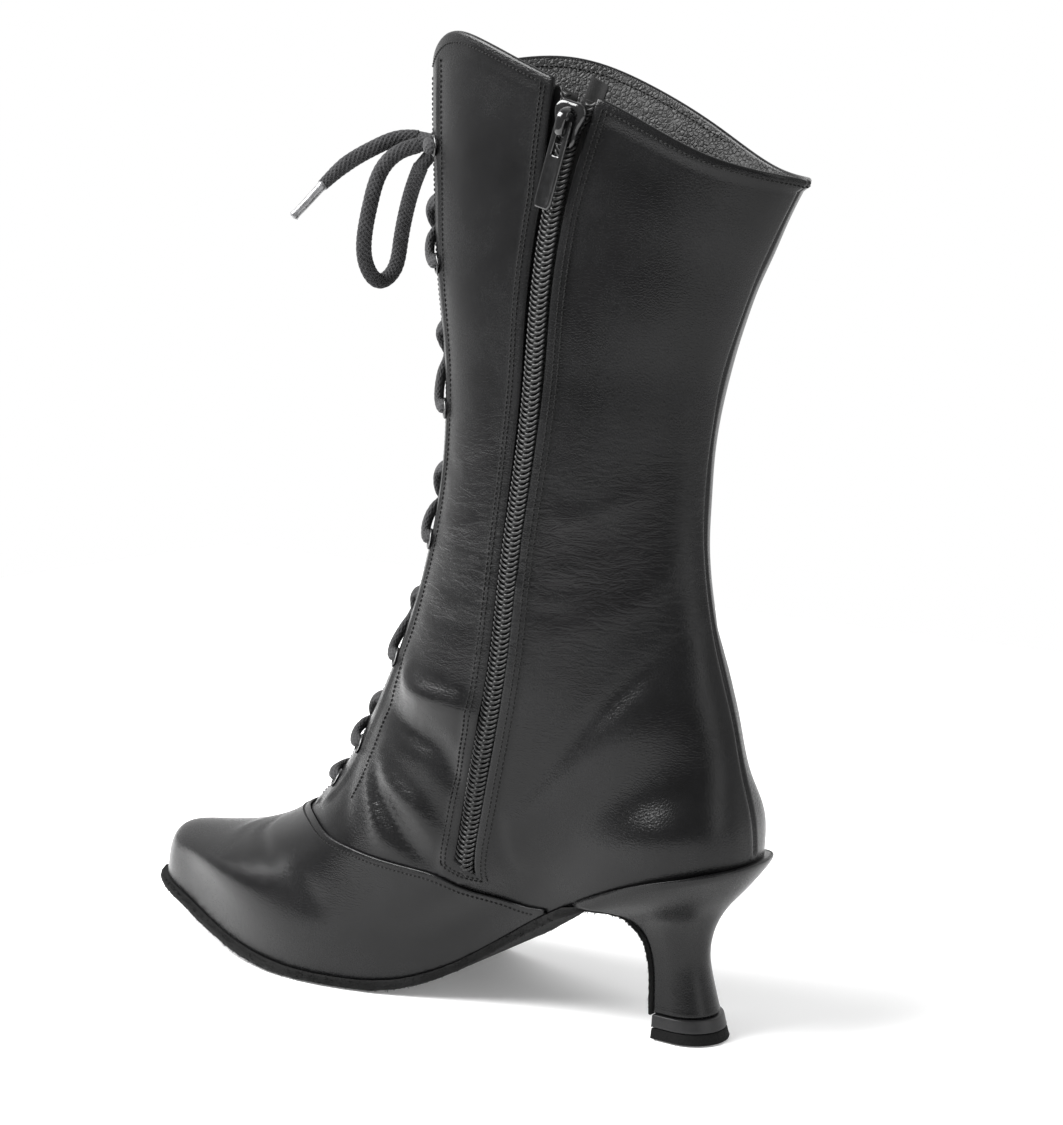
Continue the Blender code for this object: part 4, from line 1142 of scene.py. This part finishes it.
def build_tape():
    """Woven tape behind the slot, parted at the top, with one loose end."""
    turns, levels = strip_grid(zip_turn, TAPE_HALF, np.linspace(*TAPE_LEVELS, 120), TAPE_ACROSS)
    across = np.linspace(-1, 1, TAPE_ACROSS)
    face = -WALL - TAPE_GAP
    rise = TAPE_RISE * np.exp(-(across / TAPE_RISE_SHARE) ** 2)
    outer = skin_grid(turns, levels, face + rise)
    inner = skin_grid(turns, levels, face - TAPE_THICKNESS + rise)
    opened = np.clip((levels[:-1, :-1] - TAPE_OPENS) / TAPE_OPENING, 0, TAPE_OPEN_SHARE)
    kept = (np.abs(across[:-1] + across[1:]) / 2 > opened) | (opened == 0)
    dressed(shell("zip_tape_cloth", outer, inner, [ZIP_CLOTH], kept), "zip_cloth", "zip_tape")
    centre, axes = zip_place(TAPE_LEVELS[1])
    side, up = np.meshgrid(np.linspace(*END_ACROSS, END_MARKS), np.linspace(*END_RISE, END_MARKS))
    lean = -END_DEPTH - END_LEAN * (up - END_RISE[0]) + END_WAVE * np.sin(side)
    flap = np.stack([side, up - END_SLANT * side, lean], -1) @ axes.T + centre
    under = flap - axes[:, 2] * TAPE_THICKNESS
    dressed(shell("zip_tape_end", flap, under, [ZIP_CLOTH]), "zip_cloth")


def plate_rings(outline, axes, centre, heights, insets):
    """Rings of a plate outline at several heights, each pulled in by its inset."""
    flat = np.asarray(outline, float)
    flat = smooth_path(np.concatenate([flat, flat[:1]]), 49)[:-1]
    rings = []
    for height, inset in zip(heights, insets):
        pulled = flat - unit(flat) * inset
        rings.append(centre + pulled @ axes[:, :2].T + axes[:, 2] * height)
    return rings


def build_slider():
    centre, axes = zip_place(SLIDER_LEVEL)
    half = SLIDER_LENGTH / 2
    wide, foot = SLIDER_HALF_TOP, SLIDER_HALF_FOOT
    right = [
        (foot * 0.8, -half * 0.97), (foot, -half * 0.75), (foot, -half * 0.3),
        (wide, half * 0.35), (wide, half * 0.75), (wide * 0.62, half),
    ]
    left = [(-x, y) for x, y in right[::-1]]
    plan = [(0, -half)] + right + [(0, half * 1.02)] + left
    low, top = SLIDER_FOOT, SLIDER_TOP
    heights = (low, low + 0.2, low + 0.6, top - 1.0, top - 0.4, top - 0.1, top)
    rings = plate_rings(plan, axes, centre, heights, (0.7, 0.3, 0.0, 0.0, 0.25, 0.7, 1.4))
    dressed(loft("zip_slider_body", rings, METAL), "black_metal", "zip_slider")
    half_width, half_thickness = BRIDGE_HALVES
    reach, top = BRIDGE_HALF_LENGTH, BRIDGE_TOP - half_thickness
    sunk = SLIDER_TOP - 0.8
    marks = np.array([
        (0, -reach, sunk), (0, -reach, SLIDER_TOP + 1.6), (0, -reach * 0.75, top - 0.5), (0, 0, top),
        (0, reach * 0.8, top - 0.3), (0, reach * 1.15, SLIDER_TOP + 1.8), (0, reach * 1.3, sunk),
    ])
    path = smooth_path(marks, BRIDGE_MARKS) @ axes.T + centre
    side, thick = across_path(path, axes[:, 2] + 0.3 * axes[:, 1])
    part = np.linspace(0, 1, BRIDGE_MARKS)
    swell = np.interp(part, (0, 0.3, 0.65, 1), (1.0, 1.25, 1.5, 1.2))
    side = side * half_width * swell[:, None]
    rings = tube_rings(path, np.ones(BRIDGE_MARKS), side, thick * half_thickness, 16)
    dressed(loft("zip_slider_bridge", rings, METAL), "black_metal")


def build_pull():
    centre, axes = zip_place(SLIDER_LEVEL)
    hinge = centre + axes[:, 2] * PULL_AXIS
    window = PULL_WINDOW_HALF
    right = np.array([0.6, window, window + 0.3, PULL_HALF - 0.5])
    across = np.concatenate([-right[::-1], right])
    end = PULL_WINDOW_LENGTH
    top, foot = PULL_BAR, PULL_LENGTH
    down = np.array([
        -top + 0.3, 0, top - 0.2, 3, 6, end - 0.6, end, end + 1.2, 15, 20, foot - 2, foot - 0.7,
    ])
    x, y = np.meshgrid(across, -down)
    x[-1] *= PULL_END_SHARE
    half = np.full_like(x, PULL_THICKNESS / 2)
    half[PULL_PANEL] -= PANEL_DEPTH
    face = np.stack([x, y, half], -1) @ axes.T + hinge
    under = np.stack([x, y, -half], -1) @ axes.T + hinge
    kept = np.ones((len(down) - 1, len(across) - 1), bool)
    kept[PULL_WINDOW] = False
    piece = shell("zip_pull_tab", face, under, [METAL], kept)
    dressed(piece, "black_metal", "zip_pull", body="zip_pull")


# Eyelets and laces.
EYELET_LEVELS = (84.0, 94.0, 116.0, 146.0, 182.0, 224.0, 258.0)
EYELET_INSETS = (6.5, 10.0, 8.0, 7.0, 6.5, 6.5, 6.5)
EYELET_RADII = (2.2, 3.6)
EYELET_HEIGHTS = (0.45, 0.95)
# Depth of the eyelet's tube and its wall.
EYELET_TUBE = (1.6, 0.35)
EYELET_SIDES = 36
LACE_HALF = 2.6
LACE_THICK = 1.55
LACE_OUT = 2.5
DIVE_SHARE = 0.56
# Distance out of the upper and the lower strand where two cross, shares of a strand's rise at its crossing
# and at the facing edge, bulge of the lowest strand, and rise of a straight strand at the facing edge.
CROSS_OUT = (3.0, 0.2)
CROSS_SHARE = 0.6
EDGE_SHARE = 0.62
BAR_BULGE = 2.2
EDGE_RISE = 1.5
# End of a strand below the far facing: distance past its edge, rise, out, half thickness.
DIVE_MARKS = ((-2.6, -0.6, 1.9, LACE_THICK), (0.4, 0.0, -1.6, 1.2), (4.0, 0.3, -2.6, 1.0))
# Start of a strand at its eyelet: distance back to the facing edge, rise, out, half width, half thickness.
LACE_START = ((0, 0, -1.2, 1.7, 1.3), (0.9, 0.4, 1.4, 2.0, 1.45), (2.8, 0.9, 2.5, 2.5, 1.55))
KNOT_LEVEL = 262.0
KNOT_OUT = 3.6
KNOT_SIDE = -3.0
# Wrap of the knot: half turns from and to, reach across, deep and high, half width and half thickness.
KNOT_TURNS = (-0.2, 2.3)
KNOT_REACH = (3.2, 3.0, 3.6)
KNOT_LACE = (2.3, 1.4)
KNOT_MARKS = 40
# Roots of the bow in the knot: shares of the way out, half width and half thickness, and the way they face.
ROOT_MARKS = (0.1, 0.5, 0.85, 1.12)
ROOT_LACE = (2.3, 1.5)
ROOT_FACING = (0.8, 0.5, 0.2)
# Bow on the inner side, away from the knot: reach forward, drop, depth behind the loop.
BOW_LOOP = (
    (7.0, 1.0, 0), (13.3, 3.2, 0.5), (18.7, 7.9, 1.5), (23.4, 20.5, 3), (25.6, 33.0, 6), (24.8, 42.5, 11),
    (20.5, 47.5, 16.5), (16.2, 44.0, 20.5), (14.0, 34.9, 20.5), (11.6, 22.3, 15), (8.9, 13.5, 8),
    (6.5, 8.0, 1.5),
)
BOW_END = ((7.5, -1.5, 6.5), (13.3, -1.5, 7.5), (23, 2.2, 8), (32.7, 8.2, 8), (40.6, 15.6, 8))
BOW_TIP = ((41.2, 16.3, 8), (45.3, 20.9, 8), (50.4, 26.4, 8))
BOW_DIRECTION = math.radians(34)
# Bow on the outer side, lying along the shaft: turn, level, distance out.
FAR_LOOP = (
    (-0.13, 262, 10), (-0.2, 259, 8.5), (-0.3, 252, 7), (-0.36, 238, 6), (-0.38, 222, 5.5),
    (-0.35, 205, 5.5), (-0.29, 203, 6), (-0.25, 216, 7), (-0.2, 234, 8.5), (-0.16, 246, 10),
    (-0.13, 252, 11.5),
)
FAR_END = (
    (-0.1, 268, 10), (-0.18, 270, 9), (-0.3, 269, 8), (-0.42, 261, 7), (-0.5, 246, 6.5), (-0.54, 228, 6),
)
FAR_TIP = ((-0.5425, 226.8, 6), (-0.55, 220, 6), (-0.555, 214, 6))
TIP_RADIUS = 1.9
TIP_TAPER = 0.72
TIP_OVERLAP = 0.12
TIP_MARKS = 24
TIP_SIDES = 18
LACE_STEP = 0.34
LACE_SIDES = 54
PLAITS = 8
PLAIT_PITCH = 2.0
PLAIT_HEIGHT = 0.26
# Share of the plaits' height that lies below the cord's face, and the rounding of a cord's ends.
PLAIT_SINK = 0.5
END_ROUND = 0.8
END_SHARE = 0.55
LEAST_RINGS = 6


def eyelet_inset(level):
    return np.interp(level, EYELET_LEVELS, EYELET_INSETS)


def lace_mesh(name, path, flat, half=LACE_HALF, thick=LACE_THICK):
    """A flat oval cord along a path, with its plaits raised on it."""
    run = run_along(path)
    count = max(LEAST_RINGS, int(run[-1] / LACE_STEP))
    fine = smooth_path(path, count)
    part = np.linspace(0, run[-1], count)
    if np.ndim(flat) > 1:
        flat = read_columns(part, run, flat)
    half, thick = (np.interp(part, run, np.broadcast_to(size, len(run)))[:, None] for size in (half, thick))
    wide, deep = across_path(fine, flat)
    angle = np.arange(LACE_SIDES) * 2 * np.pi / LACE_SIDES
    lean = 2 * np.pi * part[:, None] / PLAIT_PITCH
    round_way = PLAITS * angle
    plait = PLAIT_HEIGHT * (np.maximum(np.cos(round_way + lean), np.cos(round_way - lean)) - PLAIT_SINK)
    ends = np.clip(np.minimum(part, run[-1] - part) / END_ROUND + END_SHARE, 0, 1)[:, None]
    rings = fine[:, None] + (
        (np.cos(angle) * (half + plait) * ends)[..., None] * wide[:, None]
        + (np.sin(angle) * (thick + plait) * ends)[..., None] * deep[:, None]
    )
    return loft(name, rings, CORD), fine


def marks_path(marks):
    """World points of marks of turn, level and distance out, with the outward directions there."""
    turns, levels, outs = (np.array([float(np.ravel(v)[0]) for v in column]) for column in zip(*marks))
    return skin_out(turns, levels, outs), skin_normal(turns, levels)[0]


def build_eyelets():
    angle = np.arange(EYELET_SIDES) * 2 * np.pi / EYELET_SIDES
    inner, outer = EYELET_RADII
    low, high = EYELET_HEIGHTS
    around = np.linspace(0, np.pi, 7)
    middle, half = (inner + outer) / 2, (outer - inner) / 2
    profile = [(middle + half * math.cos(a), low + (high - low) * math.sin(a)) for a in around]
    deep, wall = EYELET_TUBE
    profile += [(inner, -deep), (inner + wall, -deep), (outer, low)]
    near = 0.5
    for side, word in ((1, "inner"), (-1, "outer")):
        for number, level in enumerate(EYELET_LEVELS, 1):
            turn = facing_turn(level, side, eyelet_inset(level))
            points, normal = dress(turn, level, 0)
            place, out = points[0], normal[0]
            up = skin_out(turn, level + near, 0)[0] - skin_out(turn, level - near, 0)[0]
            up = unit(up - out * (up @ out))
            across = np.cross(up, out)
            round_way = np.cos(angle)[:, None] * across + np.sin(angle)[:, None] * up
            rings = [place + radius * round_way + out * height for radius, height in profile]
            many = EYELET_SIDES
            faces = []
            for k in range(len(rings)):
                for j in range(many):
                    after = (j + 1) % many
                    one, two = k * many, (k + 1) % len(rings) * many
                    faces.append([one + j, one + after, two + after, two + j])
            piece = new_object(f"eyelet_ring_{word}_{number}", np.concatenate(rings), faces, [METAL])
            dressed(piece, "black_metal", f"eyelet_{word}_{number}")


def eyelet_marks(level, side):
    """Turn, level, out, half width and half thickness of a strand that comes up through an eyelet."""
    inset = eyelet_inset(level)
    marks = []
    for back, rise, *rest in LACE_START:
        marks.append((facing_turn(level, side, inset - back), level + rise, *rest))
    return marks


def build_strand(name, marks, *nodes):
    points, normals = marks_path([mark[:3] for mark in marks])
    halves, thicks = np.array([mark[3:] for mark in marks], float).T
    dressed(lace_mesh(name, points, normals, halves, thicks)[0], "lace_cord", *nodes)


def straight_marks(level, middle):
    """A strand from an eyelet over a middle mark to the eyelet across."""
    size = (LACE_HALF, LACE_THICK)
    halves = []
    for side in (1, -1):
        edge = (facing_turn(level, side, 0), level + EDGE_RISE, LACE_OUT, *size)
        halves.append(eyelet_marks(level, side) + [edge])
    return halves[0] + [(*middle, *size)] + halves[1][::-1]


def build_crossings():
    size = (LACE_HALF, LACE_THICK)
    lowest = EYELET_LEVELS[0]
    build_strand("lace_bar", straight_marks(lowest, (0.0, lowest + BAR_BULGE, BAR_BULGE)), "lace_crossing_1")
    for number, (level, above) in enumerate(zip(EYELET_LEVELS[1:], EYELET_LEVELS[2:]), 2):
        arrive = level + (above - level) * DIVE_SHARE
        middle = level + (arrive - level) * CROSS_SHARE
        for side, word in ((1, "inner"), (-1, "outer")):
            out = CROSS_OUT[(number + (side > 0)) % 2]
            marks = eyelet_marks(level, side) + [
                (facing_turn(level, side, 0.5), level + (middle - level) * EDGE_SHARE, LACE_OUT, *size),
                (0.0, middle, out, *size),
            ]
            for past, rise, low, thick in DIVE_MARKS:
                marks.append((facing_turn(arrive, -side, past), arrive + rise, low, LACE_HALF, thick))
            nodes = [f"lace_crossing_{number}"] if side > 0 else []
            build_strand(f"lace_strand_{word}_{number}", marks, *nodes)


def knot_centre():
    return skin_out(0.0, KNOT_LEVEL, KNOT_OUT)[0] + np.array([KNOT_SIDE, 0, 0])


def bow_points(route):
    """World points of a bow route given as reach, drop and depth from the knot."""
    route = np.asarray(route, float)
    centre = knot_centre()
    sine, cosine = math.sin(BOW_DIRECTION), math.cos(BOW_DIRECTION)
    reach, drop, depth = route.T
    return centre + np.stack([reach * sine - depth * cosine, -reach * cosine - depth * sine, -drop], -1)


def build_knot():
    marks = straight_marks(EYELET_LEVELS[-1], (0.0, KNOT_LEVEL, KNOT_OUT - 0.6))
    build_strand("lace_arms", marks, "lace_knot")
    centre = knot_centre()
    turn = np.linspace(*KNOT_TURNS, KNOT_MARKS) * np.pi
    wide, deep, high = KNOT_REACH
    across = np.linspace(-wide, wide, KNOT_MARKS)
    wrap = centre + np.stack([across, deep * np.cos(turn), high * np.sin(turn)], -1)
    knot, _ = lace_mesh("lace_knot_wrap", wrap, unit(wrap - centre + (1e-3, 0, 0)), *KNOT_LACE)
    dressed(knot, "lace_cord")
    near = bow_points([BOW_LOOP[0], BOW_LOOP[-1], BOW_END[0]])
    far = marks_path([FAR_LOOP[0], FAR_LOOP[-1], FAR_END[0]])[0]
    for number, start in enumerate(np.concatenate([near, far]), 1):
        route = centre + (start - centre) * np.array(ROOT_MARKS)[:, None]
        root, _ = lace_mesh(f"lace_knot_root_{number}", route, unit(np.array(ROOT_FACING)), *ROOT_LACE)
        dressed(root, "lace_cord")


def lace_cord(name, path, flat, tip):
    """A free end or loop of the lace."""
    taper = np.ones(len(path))
    if tip:
        taper[-1] = TIP_TAPER
    piece, line = lace_mesh(name, path, flat, LACE_HALF * taper, LACE_THICK * taper)
    dressed(piece, "lace_cord", name.replace("bow", "lace"))


def lace_tip(name, cord, path):
    """A clear aglet with its rolled end, over the tapered end of the cord."""
    start = cord[-1:] + (cord[-2:-1] - cord[-1:]) * TIP_OVERLAP
    fine = smooth_path(np.concatenate([start, path]), TIP_MARKS)
    wide, deep = across_path(fine, ROOT_FACING)
    part = np.linspace(0, 1, TIP_MARKS)
    radii = np.interp(part, (0, 0.05, 0.12, 0.9, 0.96, 1), (0.8, 1.0, 0.86, 0.8, 0.95, 0.5)) * TIP_RADIUS
    piece = loft(name, tube_rings(fine, radii, wide, deep, TIP_SIDES), CLEAR)
    return dressed(piece, "lace_tip_plastic", name.replace("aglet", "lace_tip"))


def build_bow():
    near = (math.cos(BOW_DIRECTION), math.sin(BOW_DIRECTION), 0.1)
    far, far_flat = marks_path(FAR_LOOP)
    far_end, far_end_flat = marks_path(FAR_END)
    near_end = bow_points(BOW_END)
    near_tip = lace_tip("aglet_inner", near_end, bow_points(BOW_TIP))
    far_tip = lace_tip("aglet_outer", far_end, marks_path(FAR_TIP)[0])
    lace_cord("bow_loop_inner", bow_points(BOW_LOOP), near, None)
    lace_cord("bow_loop_outer", far, far_flat, None)
    lace_cord("bow_end_inner", near_end, near, near_tip)
    lace_cord("bow_end_outer", far_end, far_end_flat, far_tip)


# Stitches.
STITCH = 1.2
STITCH_GAP = 0.45
THREAD_RADIUS = 0.28
THREAD_ARCH = 0.3
THREAD_SINK = 0.14
# Distances of the stitch rows from the zip slot, from the facing edge, below the collar, from the zip slot
# and the facing edge at the collar row's ends, and below the vamp's edge, then the ends of the facing and
# lining rows.
ZIP_ROWS_APART = (2.2, 3.9)
EDGE_ROW = 1.2
COLLAR_ROW = 2.2
COLLAR_ROW_ENDS = (3.4, 2.0)
VAMP_ROW = 1.7
FACING_LEVELS = (78, COLLAR - 3)
LINING_ROW = (-0.62, -0.10)
ROW_MARKS = 400


def stitch_rows(name, rows, slot, facing=1):
    """Short raised threads along each row of (turns, levels, out); facing is -1 on an inside face."""
    points = []
    faces = []
    sides = 6
    part = np.linspace(0, 1, 5)
    arch_up = facing * (THREAD_ARCH * np.sin(np.pi * part) - THREAD_SINK)
    radii = THREAD_RADIUS * np.array([0.6, 0.95, 1.0, 0.95, 0.6])
    for turns, levels, out in rows:
        line, normal = dress(turns, levels, out)
        run = run_along(line)
        for number in range(int(run[-1] / (STITCH + STITCH_GAP))):
            at = number * (STITCH + STITCH_GAP) + STITCH * part
            up = read_columns(at, run, normal)
            path = read_columns(at, run, line) + up * arch_up[:, None]
            one, two = across_path(path, up)
            faces += loft_faces(len(path), sides, len(points) * sides)
            points += list(tube_rings(path, radii, one, two, sides))
    dressed(new_object(name, np.concatenate(points), faces, [THREAD]), slot)


def zip_edge(levels, side, apart):
    """Turns along the zip slot at a distance from its edge."""
    return slot_turn(levels) + side * (slot_half(levels) + apart) / zip_level_width(levels)


# Foot of a stitch row: levels lost for one unit of turn, and its drop as a share of its distance out.
ROW_FOOT_SLOPE = 330.0
ROW_FOOT_DROP = 0.55


def zip_rows(apart):
    """One stitch row round the zip slot: down one side, along the foot and up the other side."""
    middle, middle_level, _ = ZIP_FOOT
    corners = []
    for side in (-1, 1):
        level = middle_level
        for _ in range(8):
            turn = float(zip_edge(np.array([level]), side, apart)[0])
            level = middle_level - ROW_FOOT_SLOPE * (turn - middle) - ROW_FOOT_DROP * apart
        corners.append((turn, level))
    rows = []
    for side, (_, level) in zip((-1, 1), corners):
        levels = np.linspace(level, COLLAR - 1, ROW_MARKS)
        rows.append((zip_edge(levels, side, apart), levels, 0))
    (left, left_level), (right, right_level) = corners
    part = np.linspace(0, 1, 40)
    rows.append((left + (right - left) * part, left_level + (right_level - left_level) * part, 0))
    return rows


def build_stitches():
    both_rows = [row for apart in ZIP_ROWS_APART for row in zip_rows(apart)]
    stitch_rows("zip_stitches", both_rows, "black_leather")
    facing_rows = []
    levels = np.linspace(*FACING_LEVELS, ROW_MARKS)
    for side in (1, -1):
        for inset in (EDGE_ROW, read_table(levels, FACING_ROW)):
            facing_rows.append((facing_turn(levels, side, inset), levels, 0))
    stitch_rows("facing_stitches", facing_rows, "black_leather")
    top = np.array([COLLAR - COLLAR_ROW])
    from_zip, from_facing = COLLAR_ROW_ENDS
    before, after = (float(zip_edge(top, side, from_zip)[0]) for side in (-1, 1))
    front = float(facing_turn(top, 1, from_facing)[0])
    collar = [np.linspace(after, 2 - front, ROW_MARKS), np.linspace(front, before, ROW_MARKS // 2)]
    stitch_rows("collar_stitches", [(row, top + 0 * row, 0) for row in collar], "black_leather")
    inside = np.linspace(*LINING_ROW, ROW_MARKS // 2)
    stitch_rows("lining_stitches", [(inside, top + 0 * inside, -WALL)], "black_leather", -1)
    turns = np.linspace(-VAMP_END_TURN + 0.01, VAMP_END_TURN - 0.01, 900)
    levels = np.maximum(vamp_level(turns) - VAMP_ROW, 0.3)
    stitch_rows("vamp_stitches", [(turns, levels, VAMP_THICKNESS + GAP)], "vamp_leather")


for build in (
    build_upper, build_vamp, build_tongue, build_outsole, build_insole, build_heel, build_tape, build_coils,
    build_slider, build_pull, build_eyelets, build_crossings, build_knot, build_bow, build_stitches,
):
    build()

# Floor, lights and camera.
CAMERA_PLACE = (0.65364, 0.4644, 0.2659)
CAMERA_YAW = math.radians(33.79)
CAMERA_PITCH = math.radians(8.36)
CAMERA_ROLL = math.radians(1.58)
FOCAL_PIXELS = 2360.0
IMAGE = (1063, 1125)
IMAGE_MIDDLE = (521.0, 557.0)
SENSOR = 36.0
# The floor lies a little below the boot, so that the two faces do not flicker.
FLOOR_HALF = 0.75
FLOOR_DROP = 0.0005


def build_camera():
    forward = Vector((
        -math.cos(CAMERA_YAW) * math.cos(CAMERA_PITCH), -math.sin(CAMERA_YAW) * math.cos(CAMERA_PITCH),
        -math.sin(CAMERA_PITCH),
    ))
    level_right = Vector((-math.sin(CAMERA_YAW), math.cos(CAMERA_YAW), 0))
    level_up = level_right.cross(forward)
    right = level_right * math.cos(CAMERA_ROLL) + level_up * math.sin(CAMERA_ROLL)
    up = level_up * math.cos(CAMERA_ROLL) - level_right * math.sin(CAMERA_ROLL)
    data = bpy.data.cameras.new("camera")
    data.sensor_width = SENSOR
    data.lens = FOCAL_PIXELS * SENSOR / max(IMAGE)
    data.shift_x = (IMAGE[0] / 2 - IMAGE_MIDDLE[0]) / max(IMAGE)
    data.shift_y = -(IMAGE[1] / 2 - IMAGE_MIDDLE[1]) / max(IMAGE)
    camera = bpy.data.objects.new("camera", data)
    bpy.context.scene.collection.objects.link(camera)
    turned = Matrix((right, up, -forward)).transposed().to_4x4()
    camera.matrix_world = Matrix.Translation(CAMERA_PLACE) @ turned
    bpy.context.scene.camera = camera


def build_floor():
    size = FLOOR_HALF
    mesh = bpy.data.meshes.new("floor")
    corners = [(-size, -size, 0), (size, -size, 0), (size, size, 0), (-size, size, 0)]
    mesh.from_pydata(corners, [], [(0, 1, 2, 3)])
    material, tree, shader, place = start_material("floor_paper", roughness=0.9, emission_strength=0.16)
    paper = colours(tree, noise(tree, place, 3.0), *grey(0.95, 0.97))
    tree.links.new(paper, shader.inputs["Base Color"])
    tree.links.new(paper, shader.inputs["Emission Color"])
    mesh.materials.append(material)
    floor = bpy.data.objects.new("floor", mesh)
    floor.location.z = -FLOOR_DROP
    bpy.context.scene.collection.objects.link(floor)


# Soft lights: place, aim, width, height, watts.
LIGHTS = (
    ((0.66, -0.66, 0.99), (0, 0, 0.15), 1.0, 0.75, 48.0),
    ((0.1, 1.1, 0.6), (0, 0.05, 0.15), 0.5, 1.2, 4.0),
)
SKY = 1.0
# The side of the studio behind the camera is dimmer.
DIM_SIDE = (0.98, 0.17, 0.05)
DIM_SKY = 0.38
DIM_BLEND = 0.35


def build_lights():
    for number, (place, aim, width, height, power) in enumerate(LIGHTS, 1):
        data = bpy.data.lights.new(f"softbox_{number}", "AREA")
        data.shape = "RECTANGLE"
        data.size = width
        data.size_y = height
        data.energy = power
        lamp = bpy.data.objects.new(f"softbox_{number}", data)
        lamp.location = place
        lamp.rotation_euler = (Vector(aim) - Vector(place)).to_track_quat("-Z", "Y").to_euler()
        bpy.context.scene.collection.objects.link(lamp)
    sky = bpy.data.worlds.new("studio")
    sky.use_nodes = True
    tree = sky.node_tree
    tree.nodes["Background"].inputs["Color"].default_value = (1, 1, 1, 1)
    way = add_node(tree, "ShaderNodeTexCoord").outputs["Generated"]
    towards = add_node(tree, "ShaderNodeVectorMath", {0: way, 1: DIM_SIDE}, operation="DOT_PRODUCT")
    shade = spread(tree, towards.outputs["Value"], SKY, DIM_SKY, -DIM_BLEND, DIM_BLEND)
    tree.links.new(shade, tree.nodes["Background"].inputs["Strength"])
    bpy.context.scene.world = sky
    bpy.context.scene.view_settings.view_transform = "Standard"


build_camera()
build_floor()
build_lights()

bpy.context.view_layer.update()
